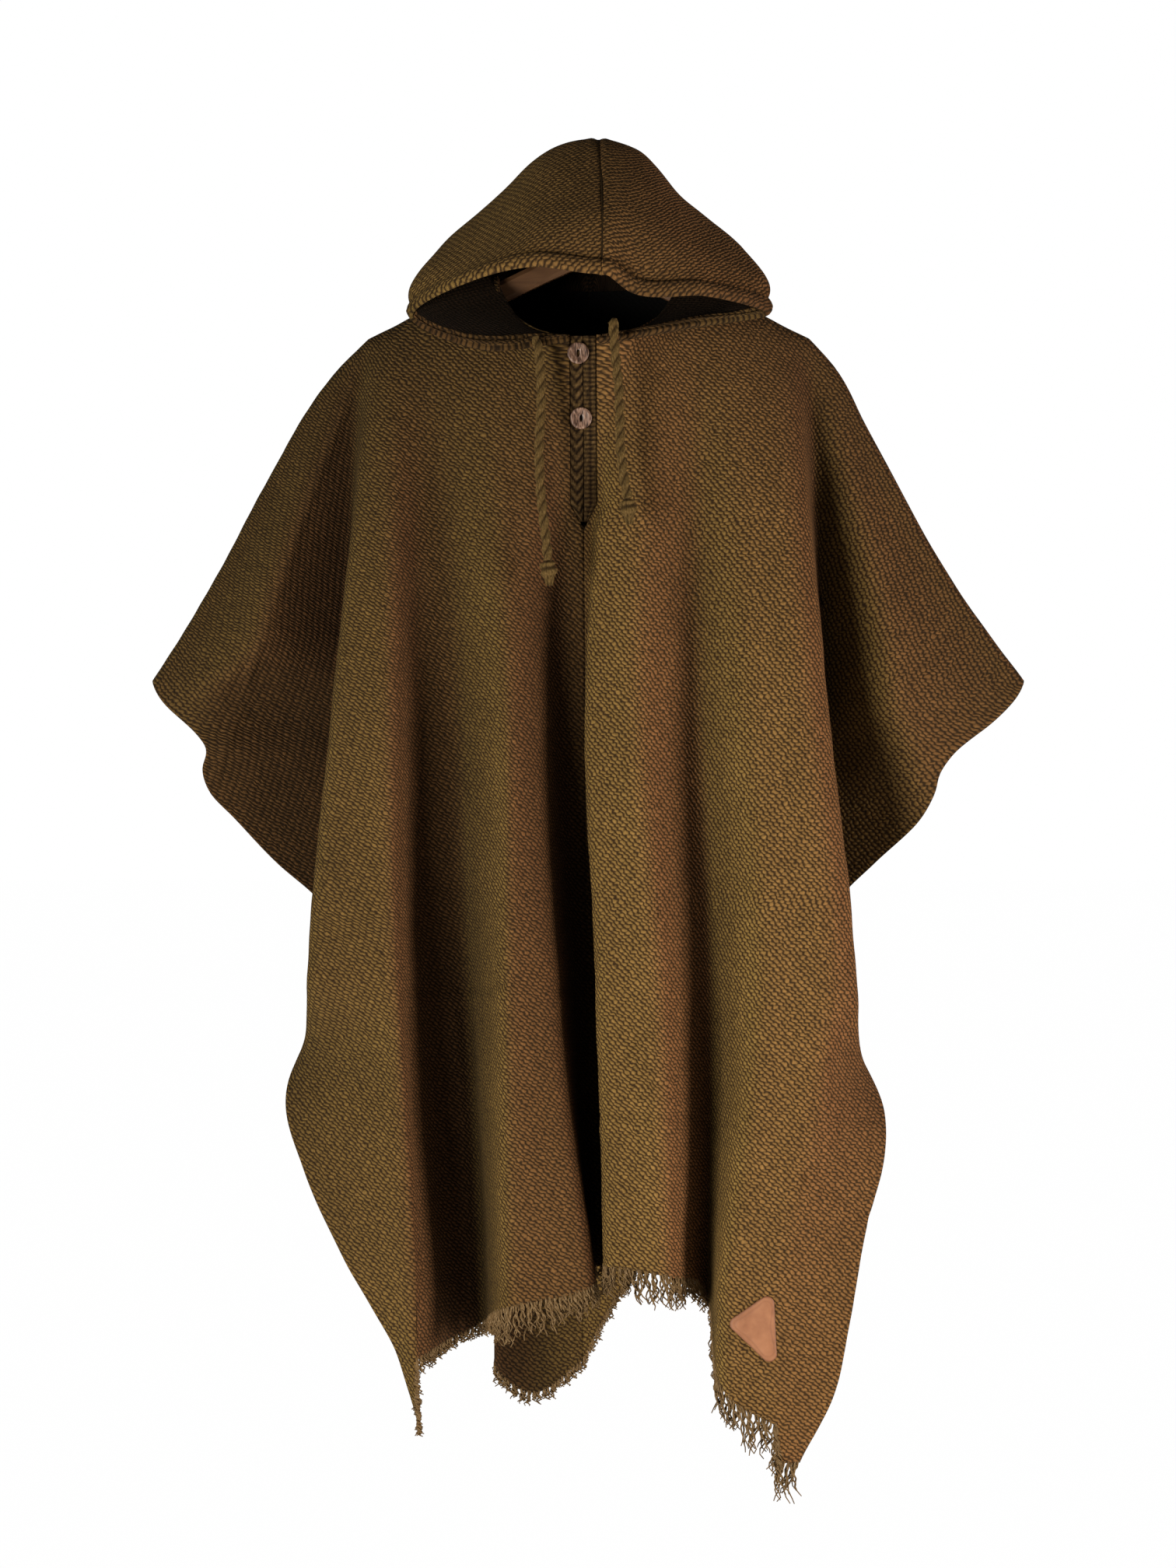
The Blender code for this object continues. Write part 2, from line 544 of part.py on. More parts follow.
def bar(name, centres, half_across, half_depth, kind, sides=8):
    """Closed bar with oval cross-sections along nearly upright centres, from top to bottom."""
    angles = np.linspace(0, 2 * math.pi, sides, endpoint=False) + math.pi / sides
    rings = [[(c[0] + hx * math.cos(t), c[1] + hy * math.sin(t), c[2]) for t in angles]
             for c, hx, hy in zip(centres, half_across, half_depth)]
    points = [p for ring in rings for p in ring]
    faces = [(r * sides + k, (r + 1) * sides + k, (r + 1) * sides + (k + 1) % sides, r * sides + (k + 1) % sides)
             for r in range(len(rings) - 1) for k in range(sides)]
    faces += [tuple(range(sides)), tuple(range((len(rings) - 1) * sides, len(rings) * sides))[::-1]]
    return mesh_object(name, points, faces, kind)


def placket():
    """The two narrow bands that fill the neck slit, side by side."""
    heights = np.append(np.linspace(CHIN_HEIGHT - 0.001, PLACKET_BOTTOM, 9), BANDS_END)
    left, depth = centre_line("front", "left", heights)
    right, _ = centre_line("front", "right", heights)
    middle = (left + right) / 2
    for name, low, high in (("placket_left", left, middle), ("placket_right", middle, right)):
        across = (low + high) / 2
        half = (high - low) / 2 - SEAM_GAP
        centres = true_place(np.stack([across, depth - 0.0004, heights], axis=1))
        bar(name, centres, half, np.full(len(half), BAND_THICK / 2), "band")


def button(name, across, height):
    """Disc with a rounded edge and an oval slot, just proud of the bands and leaning with them."""
    levels = np.array([height / 1000 + BUTTON_ACROSS / 2, height / 1000 - BUTTON_ACROSS / 2])
    _, depth = centre_line("front", "left", levels)
    lean = (depth[0] - depth[1]) / BUTTON_ACROSS
    centre = true_place([across / 1000, depth.mean() - BAND_THICK / 2, height / 1000])
    back = centre[1] - 3 * SEAM_GAP
    radius, thick = BUTTON_ACROSS / 2, BUTTON_THICK
    profile = ((0.88, 0), (1.0, 0.3), (1.0, 0.7), (0.86, 1.0))
    sides = 16
    slot = (0.0016, 0.0042)
    angles = np.linspace(0, 2 * math.pi, sides, endpoint=False)
    rings = [[(centre[0] + radius * r * math.cos(t), back - thick * h, centre[2] + radius * r * math.sin(t))
              for t in angles] for r, h in profile]
    for h in (1.0, 0.0):
        rings.append([(centre[0] + slot[0] * math.cos(t), back - thick * h, centre[2] + slot[1] * math.sin(t))
                      for t in angles])
    points = [(x, y + lean * (z - centre[2]), z) for ring in rings for x, y, z in ring]
    total = len(rings)
    faces = [(r * sides + k, r * sides + (k + 1) % sides,
              ((r + 1) % total) * sides + (k + 1) % sides, ((r + 1) % total) * sides + k)
             for r in range(total) for k in range(sides)]
    mesh_object(name, points, faces, "shell")


def rope_points(side):
    """Route that leaves the rim squarely at the point nearest its first place, and turns down."""
    route = true_place(np.array(ROPES[side], float)[:, [0, 2, 1]] / 1000)
    hit, normal = skin_tree("hood_" + side).find_nearest(Vector(route[0]))[:2]
    root = hit + normal * SEAM_GAP
    route[0] = root + normal * ROPE_ACROSS
    route = np.vstack([root, route])
    run = np.concatenate([[0], np.cumsum(np.linalg.norm(np.diff(route, axis=0), axis=1))])
    count = int(round((run[-1] - 3 * ROPE_ACROSS) / (2.2 * ROPE_ACROSS)))
    places = np.append(np.linspace(0, 3 * ROPE_ACROSS, 6), np.linspace(3 * ROPE_ACROSS, run[-1], count + 1)[1:])
    return smooth_through(places, run, route)


def drawstring(side):
    """Free end of the drawstring, and the knot below it."""
    points = rope_points(side)
    curve = bpy.data.curves.new("drawstring_" + side, "CURVE")
    curve.dimensions = "3D"
    curve.bevel_depth = ROPE_ACROSS / 2
    curve.bevel_resolution = 2
    curve.use_fill_caps = True
    spline = curve.splines.new("POLY")
    spline.points.add(len(points) - 1)
    for spot, place in zip(spline.points, points):
        spot.co = (*place, 1)
    obj = bpy.data.objects.new("drawstring_" + side, curve)
    bpy.context.collection.objects.link(obj)
    finish(obj, "rope")
    last = points[-1] - points[-2]
    top = points[-1] - np.array([0, 0, SEAM_GAP + ROPE_ACROSS / 2 * math.hypot(last[0], last[1]) / abs(last[2])])
    levels = np.array([0, 0.18, 0.5, 0.82, 1.0])
    girth = np.array([0.55, 0.9, 1.0, 0.85, 0.45]) * KNOT_ACROSS / 2
    centres = top - np.outer(levels, [0, 0, KNOT_TALL])
    bar("knot_" + side, centres, girth, girth * 0.85, "rope")


def hanger():
    """Wooden arms in one curved piece, and the steel hook that screws into it."""
    slope = (SHOULDER["right"][0][0] / 1000 - NECK_HEIGHT) / (SHOULDER["right"][0][1] / 1000 - NECK_ACROSS)
    across = np.linspace(-ARM_TIP_ACROSS, ARM_TIP_ACROSS, 25)
    distance = np.sqrt(across ** 2 + 0.012 ** 2)
    top = NECK_HEIGHT - ARM_BELOW_CLOTH + slope * (distance - NECK_ACROSS)
    tall = ARM_TALL * (1 - 0.25 * (np.abs(across) / ARM_TIP_ACROSS) ** 6)
    half = ARM_THICK / 2
    shape = ((-1, 0.2), (-1, 0.8), (-0.55, 1.0), (0.55, 1.0), (1, 0.8), (1, 0.2), (0.55, 0), (-0.55, 0))
    points = [(x, half * h, z - t * (1 - k)) for x, z, t in zip(across, top, tall) for h, k in shape]
    sides = len(shape)
    faces = [(r * sides + k, r * sides + (k + 1) % sides, (r + 1) * sides + (k + 1) % sides, (r + 1) * sides + k)
             for r in range(len(across) - 1) for k in range(sides)]
    faces += [tuple(range(sides))[::-1], tuple(range((len(across) - 1) * sides, len(across) * sides))]
    mesh_object("hanger_wood", points, faces, "wood")

    bend = -HOOK_RADIUS + WIRE / 2
    foot = top[len(top) // 2] + SEAM_GAP
    path = [(0, 0, foot), (0, 0, foot + 0.02), (0, 0, foot + 0.035)]
    stem_turn = np.array([(0.003, -0.047), (0.009, -0.037), (0.0137, -0.026)])
    path += [(x, 0, z) for x, z in stem_turn]
    path += [(HOOK_RADIUS * math.cos(t), 0, bend + HOOK_RADIUS * math.sin(t))
             for t in np.radians(np.linspace(0, 200, 12))]
    curve = bpy.data.curves.new("hanger_hook", "CURVE")
    curve.dimensions = "3D"
    curve.bevel_depth = WIRE / 2
    curve.bevel_resolution = 2
    curve.use_fill_caps = True
    spline = curve.splines.new("POLY")
    spline.points.add(len(path) - 1)
    for spot, place in zip(spline.points, path):
        spot.co = (*place, 1)
    obj = bpy.data.objects.new("hanger_hook", curve)
    bpy.context.collection.objects.link(obj)
    finish(obj, "steel")


def fringe(name, hem, above, normals, lengths, seed):
    """Strip just under the hem, with a tapering four-sided lock under every other cell.

    Each stretch of the hem between two of its points carries one lock and one bare cell.
    """
    rng = np.random.default_rng(seed)
    between = hem[:-1] + (hem[1:] - hem[:-1]) * LOCK_SHARE
    normals_between = normals[:-1] + (normals[1:] - normals[:-1]) * LOCK_SHARE
    above_between = above[:-1] + (above[1:] - above[:-1]) * LOCK_SHARE

    def woven(ends, middles):
        mixed = np.empty((len(ends) + len(middles), 3))
        mixed[0::2], mixed[1::2] = ends, middles
        return mixed

    line, out, upper = woven(hem, between), woven(normals, normals_between), woven(above, above_between)
    down = np.cross(np.gradient(line, axis=0), out)
    down *= np.sign((down * (line - upper)).sum(1, keepdims=True))
    down /= np.linalg.norm(down, axis=1, keepdims=True)
    half = CLOTH / 2
    twist = np.linalg.norm(np.diff(out, axis=0), axis=1)
    twist = np.maximum(np.append(twist, 0), np.insert(twist, 0, 0))[:, None]
    top = line + down * (SEAM_GAP + twist * CLOTH)
    low = top + down * FRINGE_STRIP
    points = [p for t, l, o in zip(top, low, out) for p in (t + o * half, l + o * half, l - o * half, t - o * half)]
    faces = []
    cells = len(line) - 1
    run = np.concatenate([[0], np.cumsum(np.linalg.norm(np.diff(line, axis=0), axis=1))])
    last_lock = 0
    for i in range(cells):
        a, b = 4 * i, 4 * (i + 1)
        faces += [(a, b, b + 1, a + 1), (a + 2, b + 2, b + 3, a + 3), (a + 3, b + 3, b, a)]
        if i % 2 or run[i] < last_lock + LOCK_PITCH:
            faces.append((a + 1, b + 1, b + 2, a + 2))
            continue
        last_lock = run[i]
        middle = (low[i] + low[i + 1]) / 2
        sway = np.array([rng.normal(0, 0.12), rng.normal(0, 0.08), 0]) * min(1, i / 10)
        hang = np.array([0, 0, -1]) * 0.4 + down[i] * 0.6 + sway
        tip = middle + hang * lengths[i // 2] * rng.uniform(0.8, 1.1)
        wide = (low[i + 1] - low[i]) / np.linalg.norm(low[i + 1] - low[i]) * LOCK_TIP / 2
        deep = out[i] * half * 0.8
        base = len(points)
        points += [tip - wide + deep, tip + wide + deep, tip + wide - deep, tip - wide - deep]
        root = (a + 1, b + 1, b + 2, a + 2)
        faces += [(root[k], root[(k + 1) % 4], base + (k + 1) % 4, base + k) for k in range(4)]
        faces.append((base, base + 1, base + 2, base + 3))
    end = 4 * cells
    faces += [(0, 1, 2, 3), (end + 3, end + 2, end + 1, end)]
    mesh_object(name, points, faces, "fringe")


def rounded_outline(corners, radius, arc=4):
    """Outline with an arc of the given radius in each corner of a triangle, as plane points."""
    outline = []
    for k, corner in enumerate(corners):
        ways = [corners[k - 1] - corner, corners[(k + 1) % 3] - corner]
        ways = [w / np.linalg.norm(w) for w in ways]
        half = math.acos(np.clip(ways[0] @ ways[1], -1, 1)) / 2
        middle = (ways[0] + ways[1]) / np.linalg.norm(ways[0] + ways[1])
        centre = corner + middle * radius / math.sin(half)
        start, end = (corner + w * radius / math.tan(half) - centre for w in ways)
        for t in np.linspace(0, 1, arc):
            ray = start * (1 - t) + end * t
            outline.append(centre + ray * radius / np.linalg.norm(ray))
    outline = np.array(outline + outline[:1])
    run = np.concatenate([[0], np.cumsum(np.linalg.norm(np.diff(outline, axis=0), axis=1))])
    even = np.linspace(0, run[-1], PATCH_SIDES, endpoint=False)
    return np.stack([np.interp(even, run, outline[:, k]) for k in (0, 1)], axis=1)


def patch():
    """Leather triangle lying on the right front: its points are the cloth's, moved out."""
    tree = skin_tree("width_right")
    eye = Vector((0, -VIEW_DISTANCE, VIEW_HEIGHT))
    outline = rounded_outline(np.array(PATCH_CORNERS) / 1000, PATCH_CORNER_RADIUS)
    middle = outline.mean(axis=0)
    low, high = [], []
    rings = (1.0, 0.8, 0.55, 0.28, 0.0)
    for ring in rings:
        for spot in (middle + (outline - middle) * ring if ring else [middle]):
            hit, normal = tree.ray_cast(eye, Vector((spot[0], 0, spot[1])) - eye)[:2]
            low.append(hit + normal * PATCH_CLEAR)
            high.append(hit + normal * (PATCH_CLEAR + PATCH_THICK))
    count, total = len(outline), len(low)
    skin = [(r * count + k, r * count + (k + 1) % count, (r + 1) * count + (k + 1) % count, (r + 1) * count + k)
            for r in range(len(rings) - 2) for k in range(count)]
    skin += [(total - 1 - count + k, total - 1 - count + (k + 1) % count, total - 1) for k in range(count)]
    faces = [f[::-1] for f in skin] + [tuple(i + total for i in f) for f in skin]
    faces += [((k + 1) % count, k, k + total, (k + 1) % count + total) for k in range(count)]
    mesh_object("patch", low + high, faces, "leather")


def build():
    clear_scene()
    for side in ("left", "right"):
        loom_width(side)
        hood(side)
    patch()
    placket()
    for row in BUTTON_PLACES:
        button(*row)
    for side in ("left", "right"):
        drawstring(side)
    hanger()


build()
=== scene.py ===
"""Hooded poncho of handwoven wool on a wooden clothes hanger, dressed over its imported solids.

Metres, +Z up, the front faces -Y. The sections follow the garment as it is put together: the
hanger, the two loom widths, their seams and fringe, the neck bands and buttons, the hood, its
drawstring and the leather patch. Widths and heights in the tables of the cloth are millimetres
as they look in the plane of the hanger to an eye 3 m in front of it, and true_place brings
them to their place.
"""
import math

import bpy
import numpy as np
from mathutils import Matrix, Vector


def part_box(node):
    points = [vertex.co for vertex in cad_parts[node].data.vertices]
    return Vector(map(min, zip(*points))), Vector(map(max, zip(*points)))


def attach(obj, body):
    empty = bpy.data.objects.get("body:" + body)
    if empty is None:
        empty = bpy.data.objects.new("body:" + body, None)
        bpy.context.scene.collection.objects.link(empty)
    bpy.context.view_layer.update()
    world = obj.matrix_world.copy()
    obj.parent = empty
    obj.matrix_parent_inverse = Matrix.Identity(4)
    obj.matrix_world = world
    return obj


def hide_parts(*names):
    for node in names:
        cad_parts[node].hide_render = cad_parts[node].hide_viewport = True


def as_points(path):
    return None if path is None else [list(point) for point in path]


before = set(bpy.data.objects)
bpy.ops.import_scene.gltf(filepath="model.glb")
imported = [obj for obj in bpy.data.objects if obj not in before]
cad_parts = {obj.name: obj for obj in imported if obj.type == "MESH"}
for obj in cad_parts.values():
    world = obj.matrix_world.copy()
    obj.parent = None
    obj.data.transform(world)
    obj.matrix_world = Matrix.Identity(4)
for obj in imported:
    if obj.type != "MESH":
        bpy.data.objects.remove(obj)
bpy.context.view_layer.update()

# ---- Studio ----
# A pale floor below the hanging garment, a pale surround, a lamp from the left front, a smaller
# one that grazes from the right, and the camera at the photograph's place.

EYE, LENS = np.array([-0.0008, -3.0, -0.656]), 66.96
FILL, FLOOR_LEVEL, FLOOR_REACH, FLOOR_GLOW = 0.09, -1.75, 30, 0.995
link = bpy.context.scene.collection.objects.link
camera_data = bpy.data.cameras.new("camera")
camera_data.lens = LENS
camera = bpy.data.objects.new("camera", camera_data)
camera.location = EYE
camera.rotation_euler = (math.pi / 2, 0, 0)
link(camera)
bpy.context.scene.camera = camera


def lamp(name, place, aim, size, power, colour):
    """Square area lamp at a place, turned to its aim."""
    data = bpy.data.lights.new(name, "AREA")
    data.shape, data.size, data.energy, data.color = "SQUARE", size, power, colour
    body = bpy.data.objects.new(name, data)
    way = np.array(aim) - np.array(place)
    body.location = place
    body.rotation_euler = (math.atan2(math.hypot(way[0], way[1]), -way[2]), 0, math.atan2(-way[0], way[1]))
    link(body)


def seen_mix(tree, other, seen, share=1.0):
    """Shader output that the camera's own rays see by its share, and another for all the rest."""
    sight, part, either = (tree.nodes.new("ShaderNode" + kind) for kind in ("LightPath", "Math", "MixShader"))
    part.operation = "MULTIPLY"
    part.inputs[1].default_value = share
    tree.links.new(sight.outputs["Is Camera Ray"], part.inputs[0])
    for output, socket in zip((part.outputs[0], other, seen), either.inputs):
        tree.links.new(output, socket)
    return either.outputs[0]


lamp("lamp_left", (-1.85, -2.3, -1.1), (0.05, 0, -0.85), 1.0, 84, (1.0, 0.96, 0.88))
lamp("lamp_right", (2.7, -1.15, -1.0), (0.2, 0, -0.9), 0.8, 74, (1.0, 0.92, 0.82))
bpy.context.scene.view_settings.view_transform = "Standard"

world = bpy.data.worlds.new("surround")
world.use_nodes = True
tree = world.node_tree
fill, paper = tree.nodes["Background"], tree.nodes.new("ShaderNodeBackground")
for light, strength in ((fill, FILL), (paper, 1.0)):
    light.inputs["Color"].default_value = (1, 1, 1, 1)
    light.inputs["Strength"].default_value = strength
tree.links.new(seen_mix(tree, fill.outputs[0], paper.outputs[0]), tree.nodes["World Output"].inputs["Surface"])
bpy.context.scene.world = world

floor_mesh = bpy.data.meshes.new("floor")
corners = ((-1, -1), (1, -1), (1, 1), (-1, 1))
floor_mesh.from_pydata([(x * FLOOR_REACH, y * FLOOR_REACH, FLOOR_LEVEL) for x, y in corners], [],
                       [(0, 1, 2, 3)])
floor = bpy.data.objects.new("floor", floor_mesh)
link(floor)
floor_paint = bpy.data.materials.new("floor_paint")
floor_paint.use_nodes = True
tree = floor_paint.node_tree
matt, glow = tree.nodes["Principled BSDF"], tree.nodes.new("ShaderNodeEmission")
matt.inputs["Base Color"].default_value = (0.9, 0.9, 0.9, 1)
matt.inputs["Roughness"].default_value = 0.9
tree.links.new(seen_mix(tree, matt.outputs[0], glow.outputs[0], FLOOR_GLOW),
               tree.nodes["Material Output"].inputs["Surface"])
floor_mesh.materials.append(floor_paint)

# ---- Hanger ----
# The arms are one curved piece of varnished beech and the hook is bent steel wire. Both keep
# their solids and get their finish here.


def nodes_of(tree):
    """Short ways to add a node to a node tree and to join two of its nodes."""
    def add(kind, **values):
        node = tree.nodes.new(kind)
        for key, value in values.items():
            if key in node.inputs.keys():
                node.inputs[key].default_value = value
            else:
                setattr(node, key, value)
        return node

    return add, tree.links.new


def new_material(name, roughness, metallic=0.0):
    """Principled material with its shader node."""
    material = bpy.data.materials.new(name)
    material.use_nodes = True
    shader = material.node_tree.nodes["Principled BSDF"]
    shader.inputs["Roughness"].default_value = roughness
    shader.inputs["Metallic"].default_value = metallic
    return material, shader


def colour_ramp(add, stops):
    """Colour ramp from (place, colour) stops."""
    ramp = add("ShaderNodeValToRGB")
    marks = ramp.color_ramp.elements
    while len(marks) < len(stops):
        marks.new(0.5)
    for mark, (place, colour) in zip(marks, stops):
        mark.position, mark.color = place, (*colour, 1)
    return ramp


def grained(name, roughness, stops, noise, stretch=(1, 1, 1), turn=(0, 0, 0), relief=None, metallic=0.0):
    """Material that a noise in the piece's own space tints through a ramp, and roughens where a
    relief of (strength, distance) is given."""
    material, shader = new_material(name, roughness, metallic)
    add, join = nodes_of(material.node_tree)
    place, along = add("ShaderNodeTexCoord"), add("ShaderNodeMapping", Scale=stretch, Rotation=turn)
    grain, tint = add("ShaderNodeTexNoise", **noise), colour_ramp(add, stops)
    join(place.outputs["Object"], along.inputs["Vector"])
    join(along.outputs["Vector"], grain.inputs["Vector"])
    join(grain.outputs["Fac"], tint.inputs["Fac"])
    join(tint.outputs["Color"], shader.inputs["Base Color"])
    if relief:
        bump = add("ShaderNodeBump", Strength=relief[0], Distance=relief[1])
        join(grain.outputs["Fac"], bump.inputs["Height"])
        join(bump.outputs["Normal"], shader.inputs["Normal"])
    return material, shader


def new_piece(name, points, faces, uv=None, **masks):
    """Smooth piece on the fixed body, with thread coordinates and masks given point by point."""
    mesh = bpy.data.meshes.new(name)
    mesh.from_pydata(points, [], faces)
    if uv is not None:
        corner = np.empty(len(mesh.loops), np.int32)
        mesh.loops.foreach_get("vertex_index", corner)
        layer = mesh.uv_layers.new(name="thread")
        layer.data.foreach_set("uv", uv[corner].astype(np.float32).ravel())
    for key, values in masks.items():
        mesh.attributes.new(key, "FLOAT", "POINT").data.foreach_set("value", values.astype(np.float32))
    mesh.shade_smooth()
    piece = bpy.data.objects.new(name, mesh)
    link(piece)
    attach(piece, "root")
    return piece


def dress(piece, node, *materials, replaced=True):
    """Gives a piece its materials, mostly in place of the node's solid, which it hides."""
    for material in materials:
        piece.data.materials.append(material)
    if replaced:
        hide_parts(node)


beech, varnish = grained("beech", 0.38, [(0.25, (0.075, 0.034, 0.014)), (0.55, (0.13, 0.062, 0.027)),
                                         (0.8, (0.185, 0.095, 0.045))],
                         {"Scale": 1.4, "Detail": 7.0, "Roughness": 0.6, "Distortion": 0.8}, (6, 90, 60),
                         relief=(0.15, 0.0004))
varnish.inputs["Coat Weight"].default_value = 0.25
wire, _ = grained("wire", 0.3, [(0.3, (0.10, 0.10, 0.105)), (0.7, (0.20, 0.20, 0.21))],
                  {"Scale": 900.0, "Detail": 3.0}, metallic=1.0)
for node, finish in (("hanger_wood", beech), ("hanger_hook", wire)):
    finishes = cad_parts[node].data.materials
    finishes.clear()
    finishes.append(finish)

# ---- Loom widths ----
# Each is one length of wool from the front hem over a shoulder to the back hem, woven in a
# small pebbly weave of brown and tan yarn. The two meet at the centre, open at the neck slit.

CLOTH = 0.0024
SEAM_GAP = 0.0003
CHEST, WAIST, KNEE, HEM_LEVEL = -0.218, -0.530, -0.890, -1.180
NECK_ACROSS, NECK_HEIGHT = 0.094, -0.134
CHIN_DEPTH, CHIN_HEIGHT = -0.075, -0.194
NAPE_DEPTH, NAPE_HEIGHT = 0.062, -0.150
NECK_QUARTER = 0.105
FOLD_ROUNDING = 0.011
SHOULDER_DROP = 0.045
SHOULDER_RADIUS, SHOULDER_TURN = 0.0085, 0.004
SLIT_HALF, SLIT_BOTTOM, SLIT_CLOSED = 0.0138, -0.368, -0.394
SEAM_FLAT, SLIT_CLEAR = 0.009, -0.400
FRONT_ROWS, BACK_ROWS, ROW_CROWDING = 146, 84, 1.25
TOP_SHARES, LEVELS, HEM_MARGIN, FOLD_ENDING = (0.0008, 0.0025, 0.005), 240, 0.12, 130
# CREST_DEPTH, SHADE_FALLOFF_DEPTH and VALLEY_DEPTH shape the painted shade in the folds
CREST_DEPTH, SHADE_FALLOFF_DEPTH, VALLEY_DEPTH = 0.115, 0.12, 0.045
NECK_COLUMNS, REST_COLUMNS = 34, 166

# Shoulder fold: height and width, from the hanger's tip to the wrist
SHOULDER = {
    "left": ((-199, -226), (-226, -254), (-282, -294), (-330, -322), (-426, -372), (-522, -429), (-551, -447)),
    "right": ((-199, 226), (-226, 251), (-282, 281), (-330, 306), (-426, 359), (-522, 425), (-551, 446)),
}

# Side selvedges below the wrist: height, width and depth
SELVEDGE = {
    ("front", "left"): (
        (-551, -447, 0), (-570, -424, -8), (-594, -394, -22), (-618, -379, -34), (-642, -390, -30),
        (-666, -384, -22), (-690, -362, -12), (-738, -318, 5), (-773, -279, 15), (-834, -262, 28),
        (-906, -284, 2), (-978, -311, -38), (-1050, -294, -64), (-1146, -251, -86), (-1242, -197, -100),
        (-1317, -174, -104)),
    ("front", "right"): (
        (-551, 446, 0), (-570, 422, -8), (-594, 394, -18), (-618, 364, -26), (-642, 350, -30),
        (-666, 348, -28), (-690, 338, -20), (-738, 291, 2), (-770, 260, 15), (-834, 244, 28),
        (-914, 270, -6), (-997, 304, -62), (-1034, 304, -74), (-1113, 285, -90), (-1216, 267, -102),
        (-1286, 251, -108), (-1354, 216, -108)),
    ("back", "left"): (
        (-551, -447, 0), (-600, -385, 14), (-650, -345, 28), (-720, -295, 42), (-800, -252, 60),
        (-950, -238, 85), (-1100, -222, 95), (-1190, -205, 88)),
    ("back", "right"): (
        (-551, 446, 0), (-600, 380, 14), (-650, 335, 28), (-720, 285, 42), (-800, 240, 60),
        (-950, 240, 85), (-1100, 236, 95), (-1250, 215, 80)),
}

# Fold lines from the selvedge to the centre: width at the chest, waist, knee and hem, depth at
# the same four, the height where a sleeve fold ends, or else warp thread, hem height and fringe
FOLDS = {
    ("front", "left"): (
        ("sleeve ridge", -236, -342, -300, -300, -12, -64, -30, -20, -628, None, None, None),
        ("armpit valley", -226, -246, -262, -262, -9, 15, 28, 28, -890, None, None, None),
        ("side turn", -224, -261, -295, -302, -30, -74, -78, -60, -985, None, None, None),
        ("side ridge", -200, -203, -194, -176, -42, -104, -120, -122, None, 225, -1248, 14),
        ("side recess", -178, -180, -170, -146, -44, -64, -54, -52, None, 198, -1228, 14),
        ("side valley", -158, -134, -122, -110, -48, -54, -28, -20, None, 172, -1211, 14),
        ("chest ridge", -106, -86, -88, -88, -58, -108, -124, -124, None, 118, -1195, 34),
        ("chest turn", -46, -57, -32, 10, -68, -86, -94, -100, None, 52, -1172, 26),
        ("centre wall", -26, -32, -14, 0, -72, -40, 6, 10, None, 28, -1156, 20),
    ),
    ("front", "right"): (
        ("sleeve ridge", 229, 306, 300, 300, -12, -52, -30, -20, -700, None, None, None),
        ("armpit valley", 220, 238, 256, 260, -12, 8, 24, 28, -860, None, None, None),
        ("side turn", 214, 241, 281, 292, -36, -92, -104, -92, -1005, None, None, None),
        ("side ridge", 190, 222, 250, 192, -45, -110, -124, -122, None, 200, -1316, 40),
        ("side fold edge", 142, 158, 170, 133, -55, -100, -118, -118, None, 158, -1276, 36),
        ("side valley", 110, 112, 126, 124, -55, -62, -48, -40, None, 122, -1184, 20),
        ("chest ridge", 66, 50, 76, 84, -66, -106, -124, -128, None, 72, -1163, 32),
        ("chest turn", 24, -6, 6, 14, -71, -76, -96, -98, None, 36, -1152, 30),
        ("centre wall", 18, 8, 20, 26, -72, -36, 8, 10, None, 20, -1151, 20),
    ),
    ("back", "left"): (
        ("sleeve ridge", -236, -330, -300, -300, 10, 42, 40, 40, -650, None, None, None),
        ("side ridge", -190, -205, -200, -190, 36, 96, 120, 122, None, 205, -1182, 12),
        ("side valley", -138, -142, -140, -140, 44, 60, 62, 62, None, 150, -1176, 12),
        ("centre ridge", -95, -82, -76, -72, 52, 98, 112, 118, None, 104, -1190, 12),
        ("lobe edge", -62, -72, -92, -101, 56, 74, 56, 48, None, 64, -1256, 14),
        ("lobe", -32, -40, -52, -56, 60, 62, 40, 32, None, 32, -1282, 14),
    ),
    ("back", "right"): (
        ("sleeve ridge", 236, 330, 300, 300, 10, 42, 40, 40, -650, None, None, None),
        ("side ridge", 186, 196, 192, 186, 38, 100, 118, 112, None, 200, -1216, 12),
        ("side valley", 136, 130, 128, 128, 46, 58, 56, 56, None, 140, -1160, 12),
        ("centre ridge", 78, 66, 62, 58, 56, 102, 114, 116, None, 80, -1150, 12),
        ("centre wall", 26, 22, 20, 14, 61, 78, 82, 84, None, 26, -1206, 12),
    ),
}
# Centre edges: widths and depths at the same four heights, hem height and fringe
CENTRE = {
    "front": (-6, -4, -1, 10, -73, -38, 8, 10, -1152, 18),
    "back": (0, 0, -2, -7, 62, 72, 66, 62, -1250, 12),
}
CORNER_FRINGE = {("front", "left"): 9, ("front", "right"): 40, ("back", "left"): 12, ("back", "right"): 12}

